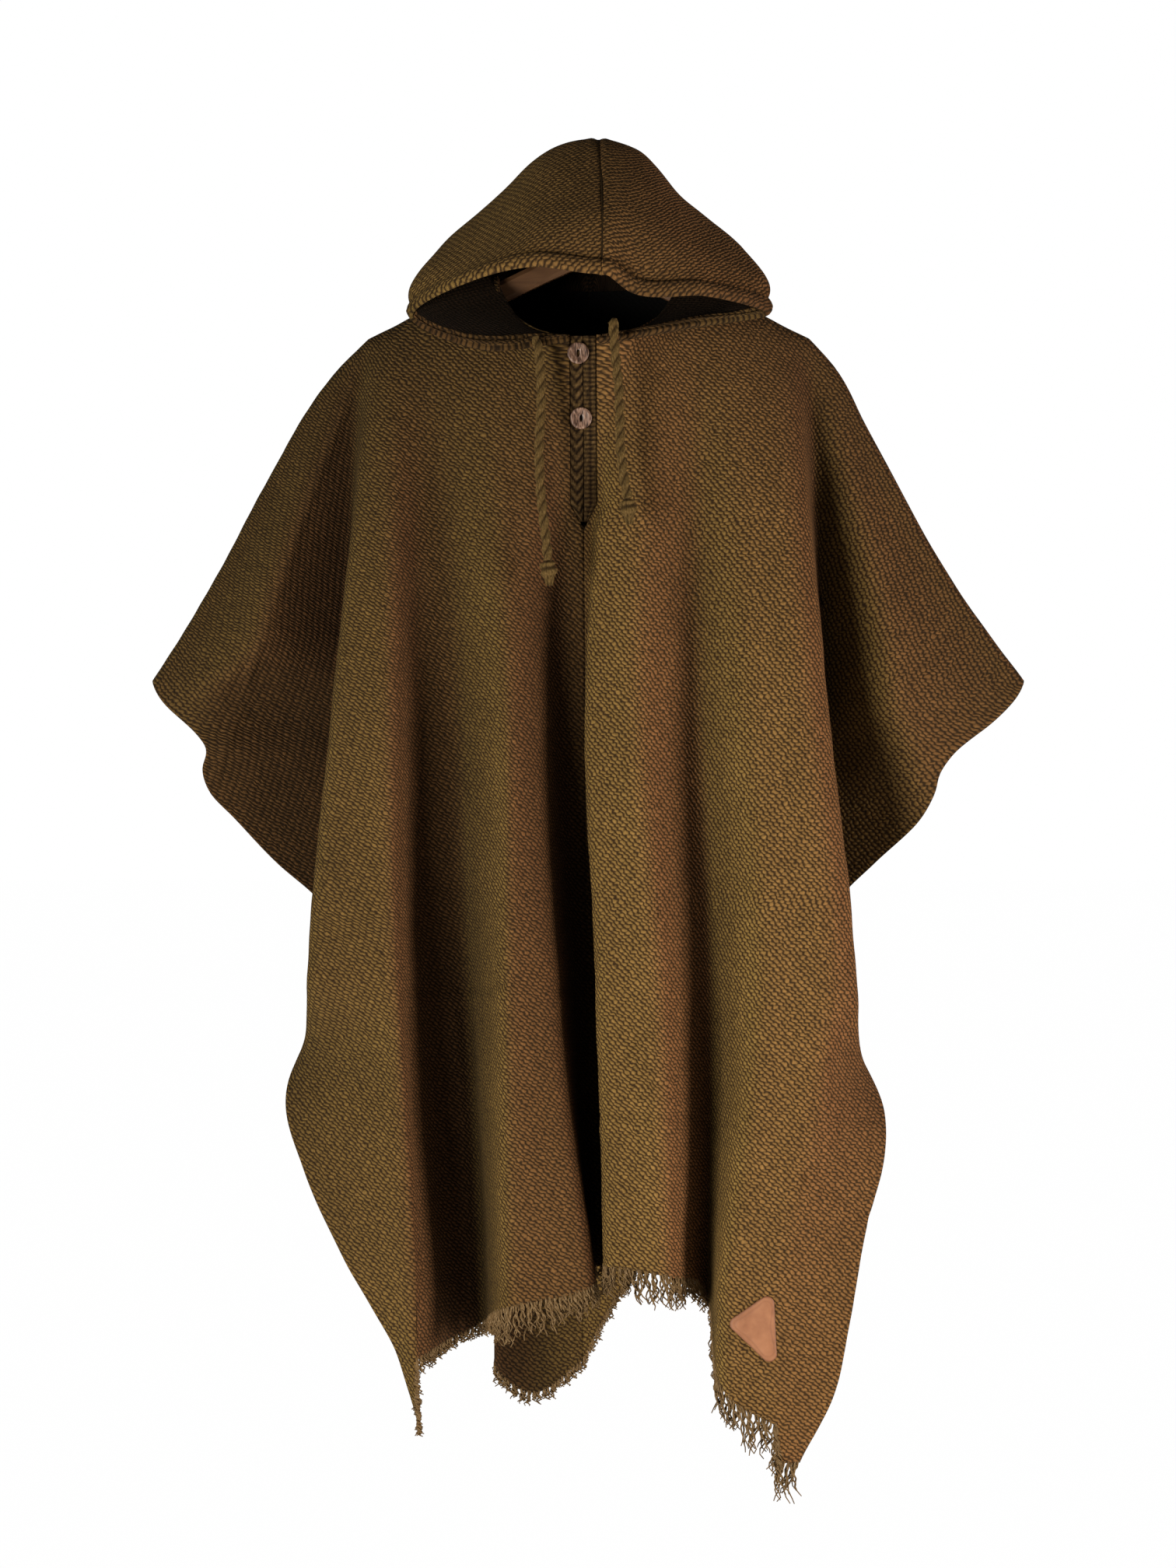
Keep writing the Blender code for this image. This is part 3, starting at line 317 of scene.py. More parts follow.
# Creases on the fronts, as they look: side, from (width, height) to (width, height), how far the
# middle bows out, depth of the groove (a ridge where negative) and half width
CREASES = (
    ("left", -187, -884, -175, -1240, 6, 3.0, 6),
    ("left", -127, -884, -109, -1215, 4, 3.0, 7),
    ("left", -179, -871, -126, -868, 4, 2.6, 5),
    ("left", -126, -870, -57, -846, -6, 2.8, 5),
    ("left", -40, -872, -12, -871, 2, 1.2, 5),
    ("left", -82, -330, -71, -458, 3, 2.2, 6),
    ("left", -244, -250, -374, -619, -4, -2.4, 4),
    ("left", -120, -620, -96, -760, 5, 1.6, 12),
    ("left", -200, -420, -206, -700, 3, -1.5, 9),
    ("right", 48, -914, 67, -976, -8, 2.6, 5),
    ("right", 11, -1000, 98, -1004, 4, 2.4, 5),
    ("right", 185, -1046, 284, -1100, 6, 2.4, 6),
    ("right", 160, -760, 172, -900, 4, 1.8, 8),
    ("right", 92, -300, 100, -520, 5, 1.6, 12),
    ("right", 250, -250, 320, -560, 4, -1.6, 8),
    ("right", 58, -560, 64, -840, 3, 1.4, 14),
)


def unit(vectors):
    """The vectors scaled to length one."""
    return vectors / (np.linalg.norm(vectors, axis=-1, keepdims=True) + 1e-12)


def run_along(path):
    """Distance along a path from its first point to each of its points."""
    return np.concatenate([[0], np.cumsum(np.linalg.norm(np.diff(path, axis=0), axis=1))])


def grid_quads(rows, columns, first=0):
    """Faces of a grid of points, row by row."""
    spot = first + np.arange(rows * columns).reshape(rows, columns)
    return np.stack([spot[:-1, :-1], spot[1:, :-1], spot[1:, 1:], spot[:-1, 1:]], axis=-1).reshape(-1, 4)


def true_place(points):
    """x' = x(1 + y/3) and the same about the eye's height: what is nearer is drawn in."""
    points = np.array(points, float)
    near = 1 + points[..., 1] / 3.0
    points[..., 0] *= near
    points[..., 2] = EYE[2] + (points[..., 2] - EYE[2]) * near
    return points


def seen_place(points):
    """The other way round: width and height of a point as they look in the hanger's plane."""
    near = 1 + points[..., 1] / 3.0
    return points[..., 0] / near, EYE[2] + (points[..., 2] - EYE[2]) / near


def smooth_through(at, knots, values):
    """Cubic through the knots with slopes from their neighbours: v = v0(1-s) + v1 s + bends."""
    knots, values = np.asarray(knots, float), np.asarray(values, float)
    slopes = np.gradient(values, knots, axis=0)
    at = np.clip(at, knots[0], knots[-1])
    i = np.clip(np.searchsorted(knots, at, side="right") - 1, 0, len(knots) - 2)
    span = knots[i + 1] - knots[i]
    t = (at - knots[i]) / span
    if values.ndim > 1:
        t, span = t[..., None], span[..., None]
    blend = t * t * (3 - 2 * t)
    return (values[i] * (1 - blend) + values[i + 1] * blend
            + slopes[i] * span * t * (1 - t) ** 2 - slopes[i + 1] * span * t * t * (1 - t))


def by_height(at, rows, column):
    """A table's column read at a height, smooth through its rows."""
    table = np.array(rows, float)[::-1] / 1000
    return smooth_through(at, table[:, 0], table[:, column])


def centre_line(face, side, heights):
    """Width and depth of a width's centre edge: the seam, opened by half the slit at the neck."""
    row = np.array(CENTRE[face], float) / 1000
    levels = [HEM_LEVEL, KNEE, WAIST, CHEST]
    across = smooth_through(heights, levels, row[3::-1])
    depth = smooth_through(heights, levels, row[7:3:-1])
    half = np.full_like(across, SEAM_GAP / 2)
    if face == "front":
        half += SLIT_HALF * np.clip((heights - SLIT_CLOSED) / (SLIT_BOTTOM - SLIT_CLOSED), 0, 1)
    return across + (half if side == "right" else -half), depth


def section(face, side, height, count=240):
    """Level section: straight flanks through the fold lines, each point a Gaussian mean of its
    neighbours along the run, so that the corners are rounded."""
    at = np.array([height])
    wrist = SHOULDER[side][-1][0] / 1000
    across = by_height(at, SHOULDER[side] if height > wrist else SELVEDGE[face, side], 1)
    depth = 0 * at if height > wrist else by_height(at, SELVEDGE[face, side], 2)
    edge = np.concatenate([across, depth])
    centre = np.concatenate(centre_line(face, side, at))
    sign = 1 if side == "right" else -1
    levels = [HEM_LEVEL, KNEE, WAIST, CHEST]
    chain = [edge]
    for row in FOLDS[face, side]:
        values = np.array(row[1:9], float) / 1000
        point = np.array([smooth_through(at, levels, values[3::-1])[0],
                          smooth_through(at, levels, values[7:3:-1])[0]])
        if row[9] is not None:
            left = np.clip((height * 1000 - row[9]) / FOLD_ENDING, 0, 1)
            point = edge + (point - edge) * left * left * (3 - 2 * left)
        elif height > SLIT_CLEAR:
            point[0] = sign * max(sign * point[0], sign * centre[0] + SEAM_FLAT)
        chain.append(point)
    chain = np.array(chain + [centre])
    run = run_along(chain)
    even = np.linspace(0, run[-1], count)
    points = np.stack([np.interp(even, run, chain[:, k]) for k in (0, 1)], axis=1)
    reach = max(1, int(round(2.5 * FOLD_ROUNDING / (run[-1] / count))))
    weights = np.exp(-0.5 * (np.arange(-reach, reach + 1) * run[-1] / count / FOLD_ROUNDING) ** 2)
    weights /= weights.sum()
    padded = np.concatenate([2 * points[0] - points[reach:0:-1], points,
                             2 * points[-1] - points[-2:-reach - 2:-1]])
    rounded = np.stack([np.convolve(padded[:, k], weights, mode="valid") for k in (0, 1)], axis=1)
    return rounded, run / run[-1]


def top_edge(face, side):
    """The cloth's own coordinate along its top: a quarter of the neckline, then the shoulder."""
    sign = 1 if side == "right" else -1
    turn = np.linspace(0, math.pi / 2, 13)[:-1]
    start = centre_line(face, side, np.array([CHEST]))[0][0]
    low_depth, low_height = (CHIN_DEPTH, CHIN_HEIGHT) if face == "front" else (NAPE_DEPTH, NAPE_HEIGHT)
    neck = np.stack([start + (sign * NECK_ACROSS - start) * np.sin(turn), low_depth * np.cos(turn),
                     NECK_HEIGHT + (low_height - NECK_HEIGHT) * np.cos(turn)], axis=1)
    fall = np.linspace(SHOULDER[side][0][0] / 1000, SHOULDER[side][-1][0] / 1000, 40)
    slope = np.stack([by_height(fall, SHOULDER[side], 1), 0 * fall, fall], axis=1)
    shoulder = np.concatenate([[[sign * NECK_ACROSS, 0, NECK_HEIGHT]], slope])
    return (np.concatenate([turn / (math.pi / 2) * NECK_QUARTER, NECK_QUARTER + run_along(shoulder)]),
            np.concatenate([neck, shoulder]))


def hem_values(face, side, columns, full, column, at_centre, at_corner):
    """A value given at the fold lines, the centre and the corner, spread over the columns, that
    stays between the last fold line's value and the corner's beyond that line."""
    rows = [r for r in FOLDS[face, side][::-1] if r[10] is not None]
    knots = [0] + [r[10] / 1000 for r in rows] + [full]
    given = np.array([at_centre] + [r[column] for r in rows] + [at_corner]) / 1000
    spread = smooth_through(columns, knots, given)
    return np.where(columns > knots[-2], np.clip(spread, given[-2:].min(), given[-2:].max()), spread)


def panel_grid(face, side, columns, rows):
    """Front or back as a grid: P(u, s) = top(u)(1 - d) + section(u, z)d, z falls from the top to
    the hem with s, and d = 1 - exp(-drop / 45 mm). Columns follow the warp threads. With it goes
    each point's distance from the centre along the level section."""
    places, top = top_edge(face, side)
    full = places[-1]
    start = np.stack([np.interp(columns, places, top[:, k]) for k in range(3)], axis=1)
    shoulder = places >= NECK_QUARTER
    lowest = min(SELVEDGE[face, side][-1][0] / 1000, HEM_LEVEL) - HEM_MARGIN
    levels = np.linspace(lowest, CHEST, LEVELS)
    followed = [k for k, r in enumerate(FOLDS[face, side]) if r[10] is not None][::-1]
    threads = [FOLDS[face, side][k][10] / 1000 for k in followed]
    shapes, shares = [], []
    for level in levels:
        shape, run = section(face, side, level)
        outer = np.interp(-level, -top[shoulder, 2], places[shoulder])
        shares.append(np.interp(columns, [0] + threads + [outer], [1] + [run[k + 1] for k in followed] + [0]))
        shapes.append(shape)
    shapes, shares = np.array(shapes), np.array(shares)
    lengths = np.linalg.norm(np.diff(shapes, axis=1), axis=2).sum(axis=1)
    hem = hem_values(face, side, columns, full, 11, CENTRE[face][8], SELVEDGE[face, side][-1][0])
    share = np.linspace(0, 1, rows) ** ROW_CROWDING
    if face == "front":
        ends = (np.array([SLIT_BOTTOM, SLIT_CLOSED]) - start[0, 2]) / (hem[0] - start[0, 2])
        share = np.sort(np.append(share, ends))
    share = np.sort(np.append(share, TOP_SHARES))[:, None]
    heights = start[None, :, 2] + (hem - start[:, 2])[None, :] * share
    v = (np.clip(heights, lowest, CHEST) - lowest) / (levels[1] - levels[0])
    j = np.clip(v.astype(int), 0, len(levels) - 2)
    v = v - j
    column = np.arange(len(columns))[None, :]
    u = shares[j, column] * (1 - v) + shares[j + 1, column] * v
    arc = (1 - u) * (lengths[j] * (1 - v) + lengths[j + 1] * v)
    if face == "front":
        arc = arc + SLIT_HALF * np.clip((heights - SLIT_CLOSED) / (SLIT_BOTTOM - SLIT_CLOSED), 0, 1)
    u = u * (shapes.shape[1] - 1)
    i = np.clip(u.astype(int), 0, shapes.shape[1] - 2)
    u, v = (u - i)[..., None], v[..., None]
    flat = ((shapes[j, i] * (1 - u) + shapes[j, i + 1] * u) * (1 - v)
            + (shapes[j + 1, i] * (1 - u) + shapes[j + 1, i + 1] * u) * v)
    below = start[None, :, 2] - heights
    drop = (1 - np.exp(-below / SHOULDER_DROP))[..., None]
    rest = SHOULDER_RADIUS * np.clip(columns / NECK_QUARTER, 0, 1) ** 3 * (1 if face == "back" else -1)
    grid = np.empty(heights.shape + (3,))
    grid[..., :2] = start[None, :, :2] * (1 - drop) + flat * drop
    grid[..., 1] += rest * (1 - np.exp(-below / SHOULDER_TURN)) * (1 - drop[..., 0])
    grid[..., 2] = heights
    grid[:, 0, 0] = centre_line(face, side, np.minimum(heights[:, 0], CHEST))[0]
    return true_place(grid), arc


def grid_normals(grid, outward):
    """Cross product of the two grid directions at each point, turned to the given side."""
    normals = unit(np.cross(np.gradient(grid, axis=0), np.gradient(grid, axis=1)))
    return normals * np.sign((normals[..., 1] * outward).mean())


def hollow_mask(grid, outward):
    """Painted shade in the folds, as a share: 0 on folds 115 mm out, 0.8 where the cloth
    lies 120 mm behind that, and up to 0.35 more by its depth behind the fold beside it."""
    depth = crest = grid[..., 1] * outward
    for mix, reach in ((np.max, 15), (np.mean, 6)):
        padded = np.pad(crest, ((0, 0), (reach, reach)), mode="edge")
        crest = mix([padded[:, k:k + depth.shape[1]] for k in range(2 * reach + 1)], axis=0)
    near = 1 - np.exp(-(np.clip(crest - depth, 0, 1) / VALLEY_DEPTH) ** 2)
    return np.clip((CREST_DEPTH - depth) / SHADE_FALLOFF_DEPTH, 0, 1) * 0.8 + 0.35 * near


def creased(grid, side, normals):
    """Each crease moves the cloth inwards by depth exp(-(gap/half width)^2), less a bulge beside
    it, and fades at its ends. Slow waves of about a millimetre keep the flanks from being flat."""
    across, height = (values * 1000 for values in seen_place(grid))
    push = np.zeros(grid.shape[:2])
    for which, x0, z0, x1, z1, bow, depth, half in CREASES:
        if which != side:
            continue
        length = math.hypot(x1 - x0, z1 - z0)
        along = ((across - x0) * (x1 - x0) + (height - z0) * (z1 - z0)) / length ** 2
        gap = ((across - x0) * (z1 - z0) - (height - z0) * (x1 - x0)) / length
        gap += bow * np.sin(math.pi * np.clip(along, 0, 1))
        fade = 1 / (1 + np.exp(-(along + 0.02) * 24)) / (1 + np.exp((along - 1.02) * 24))
        bulge = 0.45 * np.exp(-((gap - 2 * half) / (1.3 * half)) ** 2)
        push -= depth * fade * (np.exp(-(gap / half) ** 2) - bulge)
    x, z = across / 1000, height / 1000
    wave = (np.sin(31 * x + 9 * z + 1.3) * np.sin(17 * z + 4 * x) * 0.9
            + np.sin(83 * x - 22 * z) * np.sin(41 * z + 1.1) * 0.45
            + np.sin(140 * x + 60 * z) * np.sin(95 * z) * 0.25)
    still = np.clip((np.arange(grid.shape[1]) / 12), 0, 1)[None, :]
    return grid + normals * ((push + wave) * still / 1000)[..., None]


def closed_sheet(name, points, faces, thick, uv, tone, hollow, level_edge):
    """Two skins half the thickness to either side of the middle surface, joined at the border.
    Both skins share each cell's shorter diagonal, hollow is a mask of painted shade for
    each skin, and the points of the level edge stay in the plane of the centre seam."""
    a, b, c, d = (points[faces[:, k]] for k in range(4))
    face_normals = np.cross(c - a, d - b)
    normals = np.zeros_like(points)
    for k in range(4):
        np.add.at(normals, faces[:, k], face_normals)
    normals[level_edge, 0] = 0
    normals /= np.linalg.norm(normals, axis=1, keepdims=True) + 1e-15
    shift = normals * (np.broadcast_to(thick, len(points)) / 2)[:, None]
    count = len(points)
    edges = np.concatenate([faces[:, [k, (k + 1) % 4]] for k in range(4)])
    keys, counts = np.unique(np.sort(edges, axis=1), axis=0, return_counts=True)
    lone = {tuple(e) for e in keys[counts == 1].tolist()}
    border = np.array([e for e in edges.tolist() if tuple(sorted(e)) in lone])
    short = np.linalg.norm(c - a, axis=1) < np.linalg.norm(d - b, axis=1)
    turned = np.where(short[:, None], faces, np.roll(faces, -1, axis=1))
    skin = np.concatenate([turned[:, :3], turned[:, [0, 2, 3]]])
    rim = np.stack([border[:, 1], border[:, 0], border[:, 0] + count, border[:, 1] + count], axis=1)
    piece = new_piece(name, np.concatenate([points + shift, points - shift]),
                      skin.tolist() + (skin[:, ::-1] + count).tolist() + rim.tolist(), np.concatenate([uv, uv]),
                      flank=np.concatenate([tone, tone]), hollow=np.concatenate(hollow))
    return piece, normals


# FOLD_SHADE_STRENGTH is how far the painted fold shade darkens the cloth's colour
WEAVE_BEND, WEAVE_RELIEF, FOLD_SHADE_STRENGTH, CLOTH_SHEEN, YARN_SHEEN = 0.0060, 0.0014, 0.72, 0.03, 0.04


def weave_group():
    """Pebbly weave: h = a cos(f1) + b cos(f2) + c cos(f1 - f2), two slanting wave trains over the
    thread coordinates u and v that a noise bends a little. Colour runs from the dark gaps to the
    yarn tops, with painted light making it greener on the left-facing flanks and redder on the
    right-facing ones, and painted shade making the bottoms of the folds darker."""
    group = bpy.data.node_groups.new("pebble_weave", "ShaderNodeTree")
    for way, kind, name in (
            ("INPUT", "Color", "Gap"), ("INPUT", "Color", "Left"), ("INPUT", "Color", "Right"),
            ("OUTPUT", "Color", "Color"), ("OUTPUT", "Float", "Height")):
        group.interface.new_socket(name=name, in_out=way, socket_type="NodeSocket" + kind)
    add, join = nodes_of(group)
    given, out, thread = add("NodeGroupInput"), add("NodeGroupOutput"), add("ShaderNodeUVMap", uv_map="thread")

    def maths(operation, *terms):
        node = add("ShaderNodeMath", operation=operation)
        for socket, value in zip(node.inputs, terms):
            if isinstance(value, (int, float)):
                socket.default_value = value
            else:
                join(value, socket)
        return node.outputs[0]

    def noise(scale, detail, stretch):
        mapping = add("ShaderNodeMapping", Scale=stretch)
        texture = add("ShaderNodeTexNoise", Scale=scale, Detail=detail)
        join(thread.outputs["UV"], mapping.inputs["Vector"])
        join(mapping.outputs["Vector"], texture.inputs["Vector"])
        return texture

    def blend(kind, factor, first, second):
        node = add("ShaderNodeMix", data_type="RGBA", blend_type=kind)
        for socket, value in ((node.inputs[0], factor), (node.inputs[6], first), (node.inputs[7], second)):
            if isinstance(value, float):
                socket.default_value = value
            else:
                join(value, socket)
        return node.outputs[2]

    split, sway = add("ShaderNodeSeparateXYZ"), add("ShaderNodeSeparateColor")
    join(thread.outputs["UV"], split.inputs[0])
    join(noise(120.0, 2.0, (1, 1, 1)).outputs["Color"], sway.inputs[0])
    u, v = (maths("MULTIPLY_ADD", maths("SUBTRACT", sway.outputs[k], 0.5), WEAVE_BEND, split.outputs[k])
            for k in (0, 1))
    first = maths("ADD", maths("MULTIPLY", u, 1021.0), maths("MULTIPLY", v, 1194.0))
    second = maths("ADD", maths("MULTIPLY", u, 873.0), maths("MULTIPLY", v, -653.0))
    bump = maths("MULTIPLY", maths("COSINE", first), 0.46)
    bump = maths("MULTIPLY_ADD", maths("COSINE", second), 0.27, bump)
    bump = maths("MULTIPLY_ADD", maths("COSINE", maths("SUBTRACT", first, second)), 0.27, bump)
    bump = maths("MULTIPLY_ADD", bump, 0.62, 0.42)
    looks = ((700.0, 3.0, (1, 1, 1)), (200.0, 3.0, (1, 0.5, 1)),
             (60.0, 4.0, (3, 0.35, 1)), (14.0, 2.0, (1, 0.7, 1)))
    fibre, yarn, streak, patchy = (noise(*look) for look in looks)
    bump = maths("MULTIPLY", bump, maths("MULTIPLY_ADD", fibre.outputs["Fac"], 0.8, 0.6))

    flank, hollow = (add("ShaderNodeAttribute", attribute_name=mask).outputs["Fac"]
                     for mask in ("flank", "hollow"))
    # Painted light: the colour turns greener on left-facing flanks and redder on right-facing ones
    facing_light_tint = blend("MIX", maths("MULTIPLY_ADD", flank, 0.75, 0.5), given.outputs["Left"], given.outputs["Right"])
    wear_and_fold_shade = maths("MULTIPLY", streak.outputs["Fac"], 0.45)
    for share, kind in ((0.95, yarn), (0.35, patchy)):
        wear_and_fold_shade = maths("MULTIPLY_ADD", kind.outputs["Fac"], share, wear_and_fold_shade)
    wear_and_fold_shade = maths("ADD", wear_and_fold_shade, 0.12)
    # Painted shade: the fold mask darkens the yarn's wear pattern in the bottoms of the folds
    wear_and_fold_shade = maths("MULTIPLY", wear_and_fold_shade, maths("SUBTRACT", 1.0, maths("MULTIPLY", hollow, FOLD_SHADE_STRENGTH)))
    grey = add("ShaderNodeCombineColor")
    for socket in grey.inputs:
        join(wear_and_fold_shade, socket)
    tops = blend("MULTIPLY", 1.0, facing_light_tint, grey.outputs[0])
    smooth = add("ShaderNodeMapRange", **{"From Min": 0.14, "From Max": 0.62})
    join(bump, smooth.inputs["Value"])
    gaps = blend("MULTIPLY", 1.0, given.outputs["Gap"], grey.outputs[0])
    join(blend("MIX", smooth.outputs["Result"], gaps, tops), out.inputs["Color"])
    join(bump, out.inputs["Height"])
    return group


weave = weave_group()


def fuzz(shader, weight):
    """Dull surface under the soft sheen of loose fibres."""
    shader.inputs["Sheen Weight"].default_value = weight
    shader.inputs["Sheen Tint"].default_value = (0.6, 0.4, 0.2, 1)
    shader.inputs["Specular IOR Level"].default_value = 0.12


def wool(name, tone, gap, left, right):
    """Woven wool: the weave group's colour and relief."""
    material, shader = new_material(name, 0.92)
    add, join = nodes_of(material.node_tree)
    cloth = add("ShaderNodeGroup")
    cloth.node_tree = weave
    for key, colour in (("Gap", gap), ("Left", left), ("Right", right)):
        cloth.inputs[key].default_value = (*(tone * c for c in colour), 1)
    bump = add("ShaderNodeBump", Strength=0.9, Distance=WEAVE_RELIEF)
    join(cloth.outputs["Color"], shader.inputs["Base Color"])
    join(cloth.outputs["Height"], bump.inputs["Height"])
    join(bump.outputs["Normal"], shader.inputs["Normal"])
    shader.inputs["Sheen Roughness"].default_value = 0.6
    fuzz(shader, CLOTH_SHEEN)
    return material


GAP_BROWN = (0.040, 0.021, 0.008)
# Painted light: OLIVE tints left-facing flanks and RUST right-facing ones, as under a greenish lamp at the left
# and a reddish one at the right
OLIVE, RUST = (0.270, 0.165, 0.045), (0.250, 0.110, 0.040)
# Painted shade: the left width gets a darker copy of the wool, 0.72 of its colour against 1.02 for the right
# width
width_wools = {"left": wool("width_wool_left_painted_shade", 0.72, GAP_BROWN, OLIVE, RUST),
               "right": wool("width_wool_right", 1.02, GAP_BROWN, OLIVE, RUST)}
hems, selvedges, fronts = {}, {}, {}
for side in ("left", "right"):
    places, _ = top_edge("front", side)
    columns = np.concatenate([np.linspace(0, NECK_QUARTER, NECK_COLUMNS),
                              np.linspace(NECK_QUARTER, places[-1], REST_COLUMNS)[1:]])
    faces_out = {"front": -1, "back": 1}
    grids, tones, threads, hollows = {}, {}, {}, {}
    for face, rows in (("front", FRONT_ROWS), ("back", BACK_ROWS)):
        grid, arc = panel_grid(face, side, columns, rows)
        normals = grid_normals(grid, faces_out[face])
        # The sideways facing, which steers the painted light tint
        tones[face] = normals[..., 0]
        if face == "front":
            grid = creased(grid, side, normals)
        threads[face] = np.stack([arc if side == "right" else -arc, grid[..., 2]], axis=-1)
        # Painted shade for the bottoms of the folds
        hollows[face] = hollow_mask(grid, faces_out[face])
        grids[face] = grid
    neck, count = NECK_COLUMNS - 1, len(columns)
    joined = (np.concatenate([values["front"], values["back"]]) for values in (grids, threads, tones, hollows))
    points, uv, tone, hollow = (values.reshape(-1, *values.shape[2:]) for values in joined)
    first_back = grids["front"].shape[0] * count
    index = np.arange(len(points))
    index[first_back + neck:first_back + count] = np.arange(neck, count)
    cells = []
    for face, first in (("front", 0), ("back", first_back)):
        quads = grid_quads(grids[face].shape[0], count, first)
        cells.append(quads if (face == "front") == (side == "right") else quads[:, ::-1])
    cells = index[np.concatenate(cells)]
    used = np.unique(cells)
    renumber = np.full(len(points), -1)
    renumber[used] = np.arange(len(used))
    seam = np.arange(grids["front"].shape[0] + grids["back"].shape[0]) * count
    # Painted shade on the inner skin: darker towards the neck, where it shows through the hood's opening, on
    # top of the fold shade
    inner_painted_shade = np.clip(hollow + 1.1 * np.clip((points[:, 2] + 0.34) / 0.10, 0, 1), 0, 1.75)
    cloth, normals = closed_sheet("cloth_" + side, points[used], renumber[cells], CLOTH, uv[used], tone[used],
                                  (hollow[used], inner_painted_shade[used]), renumber[seam])
    dress(cloth, "width_" + side, width_wools[side])
    fronts[side] = (cloth, grids["front"])
    for face, last in (("front", first_back), ("back", len(renumber))):
        hem = renumber[np.arange(last - count, last)]
        lengths = hem_values(face, side, columns, places[-1], 12, CENTRE[face][9], CORNER_FRINGE[face, side])
        hems[face, side] = (grids[face][-1], grids[face][-2], normals[hem], lengths)
        selvedges[face, side] = grids[face][:, 0]

# ---- Seams ----
# One yarn runs in the joint of the two widths, from the slit to the front hem and from the nape
# to the back hem, and holds their selvedges edge to edge.

SEAM_YARN, SEAM_SIDES, YARN_ROUND = 0.0021, 8, 0.006


def yarn_wool(name, stops, scale=700.0, stretch=(1, 0.4, 1)):
    """Spun wool: noise drawn out along the yarn tints and roughens it, and painted shade darkens its grooves.
    """
    material, shader = new_material(name, 0.95)
    add, join = nodes_of(material.node_tree)
    thread = add("ShaderNodeUVMap", uv_map="thread")
    groove = add("ShaderNodeAttribute", attribute_name="groove")
    along = add("ShaderNodeMapping", Scale=stretch)
    fibres = add("ShaderNodeTexNoise", Scale=scale, Detail=4.0)
    tint = colour_ramp(add, stops)
    # Painted shade: the groove mask darkens the colour towards this brown
    shaded = add("ShaderNodeMix", data_type="RGBA", blend_type="MULTIPLY")
    shaded.inputs[7].default_value = (0.10, 0.075, 0.055, 1)
    fluff = add("ShaderNodeBump", Strength=0.7, Distance=0.0006)
    join(thread.outputs["UV"], along.inputs["Vector"])
    join(along.outputs["Vector"], fibres.inputs["Vector"])
    join(fibres.outputs["Fac"], tint.inputs["Fac"])
    join(groove.outputs["Fac"], shaded.inputs[0])
    join(tint.outputs["Color"], shaded.inputs[6])
    join(shaded.outputs[2], shader.inputs["Base Color"])
    join(fibres.outputs["Fac"], fluff.inputs["Height"])
    join(fluff.outputs["Normal"], shader.inputs["Normal"])
    fuzz(shader, YARN_SHEEN)
    return material


def tube_faces(tubes, count, sides):
    """Faces of tubes of so many rings of points each, with a cap at either end."""
    spot = np.arange(tubes * count * sides).reshape(tubes, count, sides)
    after = np.roll(spot, -1, axis=2)
    quads = np.stack([spot[:, :-1], after[:, :-1], after[:, 1:], spot[:, 1:]], axis=-1).reshape(-1, 4)
    return quads.tolist() + np.concatenate([spot[:, 0, ::-1], spot[:, -1]]).tolist()


def tube_mesh(name, rings, uv, groove=0.0):
    """Piece of many closed tubes at once, whose rings are an array (tube, ring, side, 3)."""
    return new_piece(name, rings.reshape(-1, 3), tube_faces(*rings.shape[:3]), uv.reshape(-1, 2),
                     groove=np.broadcast_to(groove, rings.shape[:3]).ravel())


def rings_round(path, radius, sides):
    """Rings of points round paths: P = path + r(cos t e1 + sin t e2), e1 and e2 square to it."""
    along = unit(np.gradient(path, axis=-2))
    first = unit(np.cross(along, np.broadcast_to([0.0, 1.0, 0.0], along.shape)))
    second = np.cross(along, first)
    turn = np.linspace(0, 2 * math.pi, sides, endpoint=False)
    spread = first[..., None, :] * np.cos(turn)[:, None] + second[..., None, :] * np.sin(turn)[:, None]
    return path[..., None, :] + spread * np.broadcast_to(radius, path.shape[:-1])[..., None, None]


def seam_tube(name, path, run, node):
    """Round yarn along a path, whose run is the fibres' own coordinate."""
    rings = rings_round(path[None], SEAM_YARN / 2, SEAM_SIDES)
    run = np.broadcast_to(run[None, :, None], rings.shape[:3])
    around = np.broadcast_to(np.linspace(0, YARN_ROUND, SEAM_SIDES), run.shape)
    dress(tube_mesh(name, rings, np.stack([around, run], axis=-1)), node, seam_wool, replaced=False)


seam_wool = yarn_wool("seam_wool", [(0.35, (0.010, 0.006, 0.002)), (0.7, (0.045, 0.025, 0.009))], 500.0)
for face, start in (("front", SLIT_CLOSED + 0.001), ("back", NAPE_HEIGHT + 0.012)):
    path = (selvedges[face, "left"] + selvedges[face, "right"]) / 2
    path = path[path[:, 2] < start]
    seam_tube("seam_" + face, path, path[:, 2], "width_left")

# ---- Fringe ----
# The warp ends hang out below each hem as loose locks of kinked yarn, longer at the right
# corner and almost worn away at the left one.

LOCK_PITCH, LOCK_RADIUS = 0.0050, 0.0018
FIRST_SEED, LOCK_SIDES, LOCK_SHIFT = 40, 5, 0.03
fringe_wool = yarn_wool("fringe_wool", [(0.3, (0.055, 0.030, 0.012)), (0.52, (0.17, 0.105, 0.045)),
                                        (0.75, (0.36, 0.25, 0.14))])


